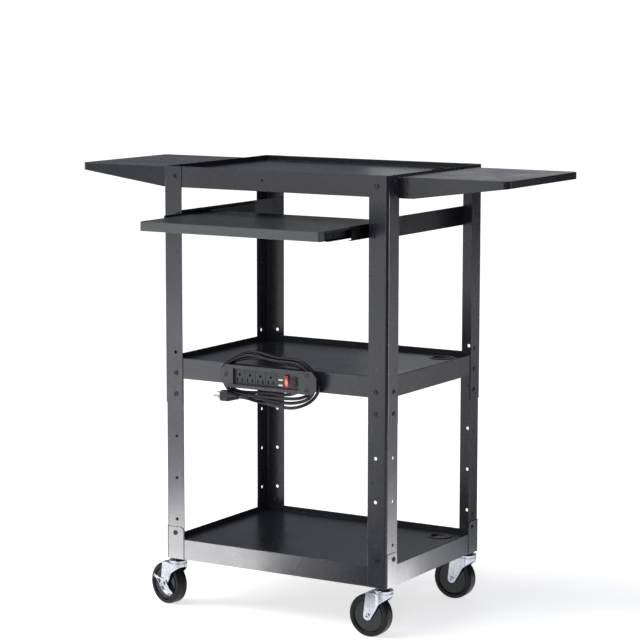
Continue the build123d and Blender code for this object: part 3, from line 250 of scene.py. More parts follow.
@dataclass
class Effects:
    """The effects that several finishes share, each built once.

    Attributes:
        pebbles: Pattern of the grain.
        pebble_height: Height of a pebble, in metres.
        edge_samples: Samples that soften an edge.
        cloud: Pattern of the mottle.
        streak: Pattern of the rub marks.
        speck: Pattern of the dust.
        dust_tilt: Upward parts of a face's normal at which dust starts and is full.
        patch: Pattern that breaks the painted edge highlight into patches.
        patch_scale: Its patches per metre.
        edge_turn: Cosines of an edge's turn at which the painted edge highlight starts and is full.
    """

    pebbles: Noise = Noise(2.0)
    pebble_height: float = 0.0006
    edge_samples: int = 4
    cloud: Noise = Noise(5.0, 0.6, 0.3, 0.7)
    streak: Noise = Noise(6.0, 0.75, 0.6, 0.74, (1.0, 1.0, 0.16))
    speck: Noise = Noise(8.0)
    dust_tilt: tuple[float, float] = (0.55, 1.0)
    patch: Noise = Noise(5.0, 0.5, 0.35, 0.65)
    patch_scale: float = 35.0
    edge_turn: tuple[float, float] = (0.995, 0.8)

    def __post_init__(self) -> None:
        """Build every effect group."""
        self.grain = self.build_grain()
        self.mottle = self.build_mottle()
        self.scuff = self.build_scuff()
        self.dust = self.build_dust()
        self.painted_edge_highlight = self.build_painted_edge_highlight()
        self.lit_core = self.build_lit_core()

    def soft_edge(self, graph: EffectGraph) -> bpy.types.NodeSocket:
        """Soften the edges by the group's Edge input.

        Args:
            graph: The group.

        Returns:
            The output of the softened normals.
        """
        edge = graph.add("ShaderNodeBevel", samples=self.edge_samples)
        graph.feed(graph.value("Edge"), edge.inputs["Radius"])
        return edge.outputs["Normal"]

    def build_grain(self) -> bpy.types.NodeTree:
        """Fine pebbled surface with softened edges, as normals.

        Returns:
            A group with Scale, Depth and Edge, the softened edges' radius, in and Normal out.
        """
        inputs = {"Scale": 900.0, "Depth": 0.15, "Edge": 0.0006}
        graph = EffectGraph("surface_grain", inputs, "Normal", "NodeSocketVector")
        bump = graph.add("ShaderNodeBump")
        pebbles = graph.noise(self.pebbles, graph.value("Scale"))
        for label, value in (("Distance", self.pebble_height), ("Strength", graph.value("Depth")),
                             ("Height", pebbles), ("Normal", self.soft_edge(graph))):
            graph.feed(value, bump.inputs[label])
        return graph.end(bump.outputs["Normal"])

    def build_mottle(self) -> bpy.types.NodeTree:
        """Soft cloudy variation between two values.

        Returns:
            A group with Scale, Low and High in and Value out.
        """
        graph = EffectGraph("soft_mottle", {"Scale": 12.0, "Low": 0.3, "High": 0.4}, "Value")
        cloud = graph.noise(self.cloud, graph.value("Scale"))
        return graph.end(graph.span(cloud, self.cloud.start, self.cloud.full,
                                    graph.value("Low"), graph.value("High")))

    def build_scuff(self) -> bpy.types.NodeTree:
        """Sparse short rub marks, as a mask.

        Returns:
            A group with Scale and Amount in and Mask out.
        """
        graph = EffectGraph("rub_marks", {"Scale": 60.0, "Amount": 0.3}, "Mask")
        streak = graph.noise(self.streak, graph.value("Scale"))
        sharp = graph.span(streak, self.streak.start, self.streak.full)
        return graph.end(graph.sum_up("MULTIPLY", sharp, graph.value("Amount")))

    def build_dust(self) -> bpy.types.NodeTree:
        """Thin dust that lies on faces that look up, as a mask.

        Returns:
            A group with Scale and Amount in and Mask out.
        """
        graph = EffectGraph("settled_dust", {"Scale": 30.0, "Amount": 0.2}, "Mask")
        shape = graph.add("ShaderNodeNewGeometry")
        parts = graph.add("ShaderNodeSeparateXYZ")
        graph.feed(shape.outputs["Normal"], parts.inputs["Vector"])
        upward = graph.span(parts.outputs["Z"], *self.dust_tilt)
        specks = graph.noise(self.speck, graph.value("Scale"))
        both = graph.sum_up("MULTIPLY", upward, specks)
        return graph.end(graph.sum_up("MULTIPLY", both, graph.value("Amount")))

    def build_painted_edge_highlight(self) -> bpy.types.NodeTree:
        """Painted highlight along edges and corners, as a mask.

        Returns:
            A group with Edge, the reach of the painted highlight, and Amount in and Mask out.
        """
        graph = EffectGraph("painted_edge_highlight", {"Edge": 0.0008, "Amount": 0.5}, "Mask")
        shape = graph.add("ShaderNodeNewGeometry")
        close = graph.add("ShaderNodeVectorMath", operation="DOT_PRODUCT")
        graph.feed(self.soft_edge(graph), close.inputs[0])
        graph.feed(shape.outputs["Normal"], close.inputs[1])
        turned = graph.span(close.outputs["Value"], *self.edge_turn)
        patches = graph.noise(self.patch, self.patch_scale)
        broken = graph.span(patches, self.patch.start, self.patch.full)
        both = graph.sum_up("MULTIPLY", turned, broken)
        return graph.end(graph.sum_up("MULTIPLY", both, graph.value("Amount")))

    def build_lit_core(self) -> bpy.types.NodeTree:
        """Bright middle of a lens that a small lamp lights from behind, as a mask.

        Returns:
            A group with the core's place and half sizes, in metres, in and Mask out.
        """
        inputs = {"Middle X": 0.0, "Middle Z": 0.0, "Half Width": 0.01, "Half Height": 0.01}
        graph = EffectGraph("lit_core", inputs, "Mask")
        parts = graph.add("ShaderNodeSeparateXYZ")
        graph.feed(graph.place.outputs["Object"], parts.inputs["Vector"])
        ways = (("X", "Middle X", "Half Width"), ("Z", "Middle Z", "Half Height"))
        squares = []
        for axis, middle, half in ways:
            away = graph.sum_up("SUBTRACT", parts.outputs[axis], graph.value(middle))
            share = graph.sum_up("DIVIDE", away, graph.value(half))
            squares.append(graph.sum_up("MULTIPLY", share, share))
        return graph.end(graph.span(graph.sum_up("ADD", *squares), 1.0, 0.0, shape="SMOOTHSTEP"))


def make_material(name: str) -> tuple[bpy.types.Material, Graph]:
    """Make a material with an empty tree.

    Args:
        name: Its name.

    Returns:
        The material and a graph to write it with.
    """
    material = bpy.data.materials.new(name)
    material.use_nodes = True
    return material, Graph(material.node_tree)


def place_object(name: str, data: bpy.types.ID) -> bpy.types.Object:
    """Place a mesh, curve, lamp or camera in the scene.

    Args:
        name: Name of the object.
        data: What it holds.

    Returns:
        The object.
    """
    placed = bpy.data.objects.new(name, data)
    bpy.context.scene.collection.objects.link(placed)
    return placed


def make_mesh(name: str, points: list, faces: list,
              *materials: bpy.types.Material) -> bpy.types.Object:
    """Make a mesh from its points and faces.

    Args:
        name: Name of the object.
        points: Its corners, in metres.
        faces: The corners of each face.
        materials: Its materials.

    Returns:
        The object.
    """
    mesh = bpy.data.meshes.new(name)
    mesh.from_pydata(points, [], faces)
    for material in materials:
        mesh.materials.append(material)
    return place_object(name, mesh)


# Finishes
class Stock(Enum):
    """What a surface is made of, which decides how its finish is put together."""

    COATED_STEEL = "coated steel"
    PLATED_METAL = "plated metal"
    SOLID_PLASTIC = "solid plastic"
    RUBBER = "rubber"


@dataclass(frozen=True)
class Finish:
    """One surface finish.

    Attributes:
        name: Name of the material.
        stock: What the surface is made of.
        colour: Main colour.
        second: Colour that rub marks or dust bring.
        gloss: Lowest and highest roughness.
        grain_scale: Pebbles per metre.
        grain_depth: Strength of the grain.
        marks: Amount of rub marks or dust.
        mottle_scale: Size of the cloudy variation.
        edge: Radius of the softened edges, in metres.
        edge_highlight: Amount of painted highlight along the edges.
        edge_highlight_colour: Colour of the painted edge highlight.
        shine: Specular level.
        clear: Weight of a clear coat.
        clear_rough: Roughness of that coat.
    """

    name: str
    stock: Stock
    colour: Colour
    second: Colour
    gloss: tuple[float, float]
    grain_scale: float = 900.0
    grain_depth: float = 0.1
    marks: float = 0.2
    mottle_scale: float = 12.0
    edge: float = 0.0006
    edge_highlight: float = 0.0
    edge_highlight_colour: Colour = (0.16, 0.16, 0.165)
    shine: float = 0.5
    clear: float = 0.0
    clear_rough: float = 0.08

    def build(self, effects: Effects) -> bpy.types.Material:
        """Make the material.

        Args:
            effects: The shared effects.

        Returns:
            The finished material.
        """
        material, graph = make_material(self.name)
        material.diffuse_color = (*self.colour, 1.0)
        shader = graph.add("ShaderNodeBsdfPrincipled")
        out = graph.add("ShaderNodeOutputMaterial")
        graph.feed(shader.outputs["BSDF"], out.inputs["Surface"])
        shader.inputs["Specular IOR Level"].default_value = self.shine
        shader.inputs["Coat Weight"].default_value = self.clear
        shader.inputs["Coat Roughness"].default_value = self.clear_rough
        shader.inputs["Metallic"].default_value = float(self.stock is Stock.PLATED_METAL)
        self.dress(graph, shader, effects)
        return material

    def dress(self, graph: Graph, shader: bpy.types.Node, effects: Effects) -> None:
        """Feed the shader's colour, roughness and normal.

        Args:
            graph: The material's graph.
            shader: Its Principled shader.
            effects: The shared effects.
        """
        low, high = self.gloss
        rough = graph.effect(effects.mottle, Scale=self.mottle_scale, Low=low, High=high)
        graph.feed(rough, shader.inputs["Roughness"])
        grain = graph.effect(effects.grain, Scale=self.grain_scale, Depth=self.grain_depth,
                             Edge=self.edge)
        graph.feed(grain, shader.inputs["Normal"])
        tint = graph.blend(self.colour, self.second, self.marks_on(graph, effects))
        # Painted highlight: a lighter colour laid along the edges, where the softened normal turns
        # away from the true one.
        if self.edge_highlight:
            edge_lit = graph.effect(effects.painted_edge_highlight, Edge=self.edge, Amount=self.edge_highlight)
            tint = graph.blend(tint, self.edge_highlight_colour, edge_lit)
        graph.feed(tint, shader.inputs["Base Color"])

    def marks_on(self, graph: Graph, effects: Effects) -> bpy.types.NodeSocket:
        """Place the marks that suit the stock: cloudy plating, dust or rub marks.

        Args:
            graph: The material's graph.
            effects: The shared effects.

        Returns:
            The mask's output.
        """
        if self.stock is Stock.PLATED_METAL:
            scale = self.mottle_scale * PLATING_CLOUDS
            return graph.effect(effects.mottle, Scale=scale, Low=0.0, High=self.marks)
        if self.stock is Stock.RUBBER:
            return graph.effect(effects.dust, Scale=self.mottle_scale, Amount=self.marks)
        return graph.effect(effects.scuff, Scale=self.mottle_scale * RUB_MARKS, Amount=self.marks)


@dataclass(frozen=True)
class LitLens(Finish):
    """A coloured lens with a lamp behind its middle.

    Attributes:
        core: The lamp's place, X and Z, in metres.
        reach: Half width and half height of its bright middle.
        halo: Size of its halo, times that of the middle.
        glow: Strength of its light.
        warm: Colour of the lit middle.
    """

    core: tuple[float, float] = (0.0, 0.0)
    reach: tuple[float, float] = (0.01, 0.01)
    halo: float = 1.5
    glow: float = 1.0
    warm: Colour = (1.0, 0.5, 0.35)

    def dress(self, graph: Graph, shader: bpy.types.Node, effects: Effects) -> None:
        """Add the glow of the lamp to the plain lens.

        Args:
            graph: The material's graph.
            shader: Its Principled shader.
            effects: The shared effects.
        """
        super().dress(graph, shader, effects)
        light: bpy.types.NodeSocket | Colour = (0.0, 0.0, 0.0)
        for size, colour in ((self.halo, self.second), (1.0, self.warm)):
            core = graph.effect(effects.lit_core, Middle_X=self.core[0], Middle_Z=self.core[1],
                                Half_Width=self.reach[0] * size, Half_Height=self.reach[1] * size)
            light = graph.blend(light, colour, core)
        graph.feed(light, shader.inputs["Emission Color"])
        shader.inputs["Emission Strength"].default_value = self.glow


# The lighter edge colours in these finishes are painted highlights along the edges.
BLACK_COAT = Finish(
    "black_powder_coat", Stock.COATED_STEEL, (0.0155, 0.0163, 0.0215), (0.036, 0.037, 0.044),
    gloss=(0.23, 0.32), grain_scale=1100.0, grain_depth=0.07, marks=0.14, mottle_scale=9.0,
    edge=0.0009, edge_highlight=0.4, edge_highlight_colour=(0.1, 0.1, 0.105), shine=0.55)
TRAY_COAT = Finish(
    "tray_powder_coat", Stock.COATED_STEEL, (0.058, 0.064, 0.064), (0.08, 0.085, 0.086),
    gloss=(0.25, 0.34), grain_scale=1100.0, grain_depth=0.07, marks=0.2, mottle_scale=9.0,
    edge=0.0009, edge_highlight=0.45, shine=0.42)
STRIP_COAT = Finish(
    "strip_textured_coat", Stock.COATED_STEEL, (0.036, 0.037, 0.041), (0.065, 0.065, 0.07),
    gloss=(0.5, 0.6), grain_scale=1500.0, grain_depth=0.3, marks=0.2, mottle_scale=30.0, edge_highlight=0.3,
    shine=0.3)
ZINC = Finish(
    "bright_zinc_plate", Stock.PLATED_METAL, (0.72, 0.74, 0.78), (0.4, 0.45, 0.54),
    gloss=(0.16, 0.3), grain_scale=300.0, grain_depth=0.012, marks=0.8, mottle_scale=60.0)
DARK_STEEL = Finish(
    "blackened_bolts", Stock.COATED_STEEL, (0.013, 0.013, 0.016), (0.035, 0.035, 0.04),
    gloss=(0.16, 0.26), grain_scale=700.0, grain_depth=0.03, marks=0.3, mottle_scale=90.0,
    edge=0.0004, edge_highlight=0.5, edge_highlight_colour=(0.35, 0.35, 0.37), shine=0.6)
DARK_SLIDES = Finish(
    "blackened_slides", Stock.PLATED_METAL, (0.02, 0.02, 0.024), (0.045, 0.045, 0.05),
    gloss=(0.25, 0.38), grain_scale=500.0, grain_depth=0.03, marks=0.5, mottle_scale=70.0, edge_highlight=0.3,
    edge_highlight_colour=(0.2, 0.2, 0.22))
TYRE_RUBBER = Finish(
    "tyre_rubber", Stock.RUBBER, (0.008, 0.008, 0.01), (0.08, 0.08, 0.08), gloss=(0.3, 0.42),
    grain_scale=1300.0, grain_depth=0.1, marks=0.05, mottle_scale=45.0, shine=0.25)
HUB_PLASTIC = Finish(
    "hub_plastic", Stock.SOLID_PLASTIC, (0.007, 0.007, 0.009), (0.03, 0.03, 0.035),
    gloss=(0.16, 0.28), grain_scale=1600.0, grain_depth=0.06, marks=0.15, mottle_scale=25.0)
BLACK_PLASTIC = Finish(
    "black_plastic", Stock.SOLID_PLASTIC, (0.012, 0.012, 0.014), (0.05, 0.05, 0.054),
    gloss=(0.3, 0.42), grain_scale=2200.0, grain_depth=0.12, marks=0.12, mottle_scale=30.0)
GLOSS_PLASTIC = Finish(
    "polished_black_plastic", Stock.SOLID_PLASTIC, (0.008, 0.008, 0.01), (0.03, 0.03, 0.034),
    gloss=(0.08, 0.16), grain_scale=900.0, grain_depth=0.01, marks=0.1, mottle_scale=40.0,
    shine=0.4, clear=0.15)
FACE_PLASTIC = Finish(
    "outlet_face_plastic", Stock.SOLID_PLASTIC, (0.028, 0.029, 0.032), (0.055, 0.055, 0.06),
    gloss=(0.42, 0.52), grain_scale=2400.0, grain_depth=0.12, marks=0.12, mottle_scale=40.0,
    edge_highlight=0.3, shine=0.28)
RED_LENS = LitLens(
    "lit_red_lens", Stock.SOLID_PLASTIC, (0.16, 0.012, 0.008), (0.8, 0.05, 0.03), gloss=(0.12, 0.2),
    grain_scale=900.0, grain_depth=0.01, marks=0.08, mottle_scale=60.0, clear=0.5,
    core=(0.0495, 0.5805), reach=(0.0042, 0.0092), glow=0.8, warm=(1.0, 0.42, 0.27))
WHITE_PLASTIC = Finish(
    "white_plastic", Stock.SOLID_PLASTIC, (0.86, 0.86, 0.86), (0.7, 0.7, 0.7), gloss=(0.3, 0.4),
    grain_scale=2400.0, grain_depth=0.05, marks=0.1, mottle_scale=40.0)
CORD_SKIN = Finish(
    "cord_skin", Stock.RUBBER, (0.01, 0.01, 0.013), (0.05, 0.05, 0.055), gloss=(0.2, 0.3),
    grain_scale=1800.0, grain_depth=0.05, marks=0.06, mottle_scale=70.0, shine=0.5)
NICKEL = Finish(
    "nickel_pins", Stock.PLATED_METAL, (0.5, 0.49, 0.47), (0.3, 0.3, 0.3), gloss=(0.12, 0.22),
    grain_scale=500.0, grain_depth=0.02, marks=0.5, mottle_scale=90.0)


@dataclass
class Workshop:
    """Builds each finish once and puts it on pieces.

    Attributes:
        effects: The shared effects.
        made: The materials made so far, by the names of their finishes.
    """

    effects: Effects = field(default_factory=Effects)
    made: dict[str, bpy.types.Material] = field(default_factory=dict)

    def material(self, finish: Finish) -> bpy.types.Material:
        """Give the material of a finish.

        Args:
            finish: The finish.

        Returns:
            Its material, built on the first call.
        """
        if finish.name not in self.made:
            self.made[finish.name] = finish.build(self.effects)
        return self.made[finish.name]

    def dress(self, piece: bpy.types.Object, finish: Finish) -> None:
        """Put one finish on a whole piece.

        Args:
            piece: The object to dress.
            finish: Its finish.
        """
        piece.data.materials.clear()
        piece.data.materials.append(self.material(finish))
        LOG.info("%s: %s", piece.name, finish.name)

    def dress_nodes(self, finish: Finish, *names: str) -> None:
        """Put one finish on some nodes of the frame.

        Args:
            finish: Their finish.
            names: Their names.
        """
        for name in names:
            self.dress(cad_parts[name], finish)


# Sub-assemblies
@dataclass
class SteelFrame:
    """Legs, shelves, corner posts and their bolts.

    Attributes:
        coated: Its coated sheet steel, apart from the legs.
        legs: The upper and lower legs of each corner.
        bolts: Its blackened bolts.
        grommets: The grommets of the cable holes.
    """

    coated: tuple[str, ...] = (
        "top_shelf", "middle_shelf", "bottom_shelf", "corner_posts", "leaf_brackets", "tray_rails")
    legs: tuple[str, ...] = tuple(
        f"{part}_leg_{corner}" for part in ("upper", "lower") for corner in CORNERS)
    bolts: tuple[str, ...] = ("frame_bolts", "rail_bolts", "leaf_pivot_bolts")
    grommets: str = "cable_grommets"

    def dress(self, shop: Workshop) -> None:
        """Coat the sheet steel and blacken the bolts.

        Args:
            shop: The finishes.
        """
        shop.dress_nodes(BLACK_COAT, *self.coated, *self.legs)
        shop.dress_nodes(DARK_STEEL, *self.bolts)
        shop.dress_nodes(BLACK_PLASTIC, self.grommets)


@dataclass
class DropLeaves:
    """The two leaves and their studs.

    Attributes:
        leaves: The folded steel leaves.
        studs: The studs that lock them.
    """

    leaves: tuple[str, ...] = tuple(f"leaf_{side}" for side in SIDES)
    studs: tuple[str, ...] = tuple(f"leaf_lock_studs_{side}" for side in SIDES)

    def dress(self, shop: Workshop) -> None:
        """Coat the leaves and blacken their studs.

        Args:
            shop: The finishes.
        """
        shop.dress_nodes(BLACK_COAT, *self.leaves)
        shop.dress_nodes(DARK_STEEL, *self.studs)


@dataclass
class KeyboardTray:
    """The tray and its slides.

    Attributes:
        tray: The tray.
        slides: The outer, middle and inner members of its slides.
        cages: The bearing strips between them.
    """

    tray: str = "keyboard_tray"
    slides: tuple[str, ...] = (
        "slide_outer_members", "slide_inner_members", "slide_middle_left", "slide_middle_right")
    cages: tuple[str, ...] = tuple(f"slide_cages_{side}" for side in SIDES)

    def dress(self, shop: Workshop) -> None:
        """Coat the tray and blacken the slides.

        Args:
            shop: The finishes.
        """
        shop.dress_nodes(TRAY_COAT, self.tray)
        shop.dress_nodes(DARK_SLIDES, *self.slides)
        shop.dress_nodes(BLACK_PLASTIC, *self.cages)


@dataclass
class Casters:
    """The four swivel casters.

    Attributes:
        gussets: The corner plates that carry them.
        stems: Their races and threaded stems.
        levers: The side brakes of the two on the left.
    """

    gussets: str = "caster_gussets"
    stems: str = "caster_stems"
    levers: tuple[str, ...] = ("brake_lever_front_left", "brake_lever_back_left")

    def dress(self, shop: Workshop) -> None:
        """Finish forks, wheels, axles and brake levers.

        Args:
            shop: The finishes.
        """
        shop.dress_nodes(BLACK_COAT, self.gussets)
        shop.dress_nodes(ZINC, self.stems, *self.levers)
        for corner in CORNERS:
            shop.dress_nodes(ZINC, f"caster_fork_{corner}", f"caster_axle_{corner}")
            shop.dress_nodes(TYRE_RUBBER, f"caster_tyre_{corner}")
            shop.dress_nodes(HUB_PLASTIC, f"caster_hub_{corner}")


@dataclass
class PowerStrip:
    """Plate, housing, outlets, ports, rocker and breaker.

    Attributes:
        plate: Its mounting plate.
        moulded: Its black plastic pieces.
        face: Its outlets' face.
        ports: The tongues in its charging ports.
        rocker: Its lit switch.
        ring: The bright ring around the breaker's button.
        plug: Body of the plug.
        blades: Blades and pin of the plug.
    """

    plate: str = "strip_plate"
    moulded: tuple[str, ...] = ("strip_housing", "strip_breaker_button")
    face: str = "strip_face"
    ports: str = "strip_usb_ports"
    rocker: str = "strip_rocker"
    ring: str = "strip_breaker_ring"
    plug: str = "plug_body"
    blades: str = "plug_blades"

    def dress(self, shop: Workshop) -> None:
        """Finish the strip's pieces.

        Args:
            shop: The finishes.
        """
        shop.dress_nodes(STRIP_COAT, self.plate)
        shop.dress_nodes(BLACK_PLASTIC, *self.moulded)
        shop.dress_nodes(FACE_PLASTIC, self.face)
        shop.dress_nodes(WHITE_PLASTIC, self.ports)
        shop.dress_nodes(RED_LENS, self.rocker)
        shop.dress_nodes(GLOSS_PLASTIC, self.ring)
        shop.dress_nodes(CORD_SKIN, self.plug)
        shop.dress_nodes(NICKEL, self.blades)


@dataclass
class PowerCord:
    """The cord of the power strip, wound loosely behind its plate, with its tail and plug.

    Sizes are in millimetres. A point of the winding is given by its distance along the
    winding's runs, up across them, and forward from the cart's middle.

    Attributes:
        length: The real cord's length; not used.
        diameter: Its thickness.
        sweep_steps: Steps of its curve between two points.
        round_steps: Steps of its roundness.
        boot_length: Length of the strain relief around its exit.
        boot_inside: How much of that is inside the strip's gland.
        boot_root: Radius of the strain relief at the gland.
        boot_tip: Its radius at the end.
        boot_groove: Depth of its grooves.
        boot_ribs: Number of its ribs.
        rib_rings: Rings of points to a rib, the later half of them in the groove.
        boot_sides: Points to a ring.
        lean: Degrees that the winding leans down to the right.
        middle_height: Height of its middle.
        mouth: Where the cord leaves the gland.
        first_turn: Points of the first turn.
        second_turn: Points of the second turn.
        third_turn: Points of the third turn.
        last_run: Points of the half turn that ends the winding.
        tail_bends: Points of the tail: right, forward and up in the cart's frame.
    """

    length: float = 1980.0
    diameter: float = 7.8
    sweep_steps: int = 12
    round_steps: int = 5
    boot_length: float = 30.0
    boot_inside: float = 20.0
    boot_root: float = 7.4
    boot_tip: float = 4.6
    boot_groove: float = 0.7
    boot_ribs: int = 5
    rib_rings: int = 4
    boot_sides: int = 28
    lean: float = 4.0
    middle_height: float = 584.0
    mouth: Place = (59.7, -25.2, 238.0)
    first_turn: tuple[Place, ...] = (
        (45.0, -33.0, 238.0), (18.0, -32.0, 237.0), (-18.0, -35.5, 236.0), (-52.0, -41.5, 235.0),
        (-86.0, -45.0, 234.5), (-110.0, -39.0, 234.5), (-122.0, -16.0, 234.5), (-119.0, 9.0, 234.5),
        (-104.0, 27.0, 234.5), (-76.0, 37.0, 234.5), (-42.0, 43.5, 234.5), (-4.0, 41.5, 234.5),
        (36.0, 40.0, 234.5), (70.0, 40.5, 234.5), (98.0, 30.0, 234.5), (116.0, 8.0, 234.5),
        (114.0, -14.0, 235.0))
    second_turn: tuple[Place, ...] = (
        (99.0, -26.0, 237.0), (76.0, -36.0, 239.0), (40.0, -40.5, 241.0), (0.0, -43.5, 241.5),
        (-44.0, -46.5, 241.5), (-88.0, -49.5, 241.5), (-115.0, -42.0, 241.5),
        (-130.0, -14.0, 241.5), (-126.0, 12.0, 241.5), (-106.0, 29.0, 241.5), (-78.0, 44.0, 241.5),
        (-46.0, 49.5, 241.5), (-12.0, 45.0, 241.5), (24.0, 44.5, 241.5), (64.0, 48.5, 241.5),
        (98.0, 38.0, 241.5), (118.0, 14.0, 241.5), (120.0, -10.0, 240.0))
    third_turn: tuple[Place, ...] = (
        (108.0, -30.0, 238.0), (84.0, -43.0, 236.5), (50.0, -51.5, 235.5), (14.0, -52.5, 235.0),
        (-24.0, -50.0, 235.0), (-62.0, -54.0, 235.0), (-98.0, -55.0, 235.0), (-124.0, -40.0, 235.0),
        (-138.0, -12.0, 235.0), (-134.0, 12.0, 235.0), (-112.0, 27.0, 235.0), (-86.0, 45.0, 235.0),
        (-56.0, 57.0, 235.0), (-24.0, 55.0, 235.0), (6.0, 50.0, 235.0), (40.0, 52.5, 235.0),
        (76.0, 54.0, 235.0), (102.0, 40.0, 235.0), (126.0, 20.0, 235.0), (130.0, -7.0, 235.0))
    last_run: tuple[Place, ...] = (
        (119.0, -29.0, 235.5), (99.0, -46.0, 236.5), (66.0, -60.5, 237.5), (30.0, -62.5, 238.0),
        (-9.0, -59.0, 239.0))
    tail_bends: tuple[Place, ...] = (
        (-36.0, 247.5, 529.5), (-58.0, 256.0, 537.0), (-78.5, 256.0, 537.0))

    def in_room(self, place: Place) -> Vector:
        """Turn a point of the winding into one of the cart, in metres.

        Args:
            place: Distance along the runs, up across them, and forward.

        Returns:
            The point in the cart's frame.
        """
        along, up, forward = place
        turn = math.radians(self.lean)
        x = along * math.cos(turn) + up * math.sin(turn)
        z = self.middle_height - along * math.sin(turn) + up * math.cos(turn)
        return Vector((x, -forward, z)) / MM_PER_M

    def build_boot(self, shop: Workshop) -> None:
        """Turn the ribbed strain relief around the cord's exit.

        Args:
            shop: The finishes.
        """
        start, ahead = self.in_room(self.mouth), self.in_room(self.first_turn[0])
        heading = (ahead - start).normalized()
        root = start - heading * self.boot_inside / MM_PER_M
        turn = heading.to_track_quat("Z", "Y").to_matrix()
        points, faces = [], []
        rings, sides = self.rib_rings * self.boot_ribs + 1, self.boot_sides
        half = self.rib_rings // 2
        for ring in range(rings):
            share = ring / (rings - 1)
            groove = self.boot_groove if ring % self.rib_rings >= half and ring > half else 0.0
            radius = self.boot_root + (self.boot_tip - self.boot_root) * share - groove
            for side in range(sides):
                angle = math.tau * side / sides
                around = radius * math.cos(angle), radius * math.sin(angle)
                spot = Vector((*around, self.boot_length * share))
                points.append(root + turn @ spot / MM_PER_M)
        for near in range(0, (rings - 1) * sides, sides):
            far = near + sides
            for side in range(sides):
                beside = (side + 1) % sides
                faces.append((near + side, near + beside, far + beside, far + side))
        faces.append(tuple(reversed(range(sides))))
        faces.append(tuple(range((rings - 1) * sides, rings * sides)))
        boot = make_mesh("cord_boot", points, faces)
        smooth = [len(face) != sides for face in faces]
        boot.data.polygons.foreach_set("use_smooth", smooth)
        shop.dress(boot, CORD_SKIN)
        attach(boot, "cart")

    def route(self) -> list[Vector]:
        """Give the cord's points from the gland to the plug.

        Returns:
            Points in metres.
        """
        wound = [self.mouth, *self.first_turn, *self.second_turn, *self.third_turn, *self.last_run]
        free = [Vector((x, -forward, z)) / MM_PER_M for x, forward, z in self.tail_bends]
        return [self.in_room(place) for place in wound] + free

    def build(self, shop: Workshop) -> bpy.types.Object:
        """Lay the cord on its route.

        Args:
            shop: The finishes.

        Returns:
            The cord as a curve.
        """
        points = self.route()
        curve = bpy.data.curves.new("power_cord", "CURVE")
        curve.dimensions = "3D"
        curve.resolution_u = self.sweep_steps
        curve.bevel_depth = self.diameter / 2 / MM_PER_M
        curve.bevel_resolution = self.round_steps
        curve.use_fill_caps = True
        spline = curve.splines.new("NURBS")
        spline.points.add(len(points) - 1)
        for target, point in zip(spline.points, points):
            target.co = (*point, 1.0)
        spline.order_u = 3
        spline.use_endpoint_u = True
        cord = place_object("power_cord", curve)
        shop.dress(cord, CORD_SKIN)
        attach(cord, "cart")
        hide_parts("cord_winding", "cord_tail")
        return cord


# Studio
class Reach(Enum):
    """Which pieces a lamp lights."""

    ALL = "all"
    COAT = "coated_steel"
    LEGS = "coated_legs"


@dataclass(frozen=True)
class Lamp:
    """One soft lamp with a rectangular face.

    Attributes:
        name: Name of the lamp.
        place: Where its middle is, in metres.
        target: What it points at.
        size: Width and length of its face, in metres.
        power: Power in watts.
        turn: Degrees that it is turned around its own axis.
        mirrored: Whether the cart's gloss sees it.
        lights: The pieces that it lights.
    """

    name: str
    place: Place
    target: Place
    size: tuple[float, float]
    power: float
    turn: float = 0.0
    mirrored: bool = True
    lights: Reach = Reach.ALL

    def hang(self, lit: dict[Reach, bpy.types.Collection]) -> None:
        """Hang the lamp in the scene, unseen by the camera.

        Args:
            lit: The pieces that a lamp can be kept to.
        """
        light = bpy.data.lights.new(self.name, "AREA")
        light.shape = "RECTANGLE"
        light.size, light.size_y = self.size
        light.energy = self.power
        lamp = place_object(self.name, light)
        aim = (Vector(self.target) - Vector(self.place)).to_track_quat("-Z", "Y")
        own = Matrix.Rotation(math.radians(self.turn), 4, "Z")
        lamp.matrix_world = Matrix.Translation(self.place) @ aim.to_matrix().to_4x4() @ own
        lamp.visible_camera = False
        lamp.visible_glossy = self.mirrored
        if self.lights in lit:
            lamp.light_linking.receiver_collection = lit[self.lights]


@dataclass(frozen=True)
class Card:
    """A bent dark card that only the cart's gloss sees.

    Attributes:
        name: Name of the card.
        middle: Point that it bends around, X and Y, in metres.
        reach: Its distance from there.
        low: Height of its lower edge.
        high: Height of its upper edge.
        first: Direction of its first end, in degrees from the front towards the right.
        last: Direction of its last end.
        folds: Number of flat parts.
    """

    name: str
    middle: tuple[float, float]
    reach: float
    low: float
    high: float
    first: float
    last: float
    folds: int = 8

    def stand(self, felt: bpy.types.Material) -> None:
        """Stand the card in the scene.

        Args:
            felt: Its material.
        """
        points = []
        for step in range(self.folds + 1):
            turn = math.radians(self.first + (self.last - self.first) * step / self.folds)
            x = self.middle[0] + self.reach * math.sin(turn)
            y = self.middle[1] - self.reach * math.cos(turn)
            points += [(x, y, self.low), (x, y, self.high)]
        faces = [(n, n + 2, n + 3, n + 1) for n in range(0, 2 * self.folds, 2)]
        show_to_gloss(make_mesh(self.name, points, faces, felt))


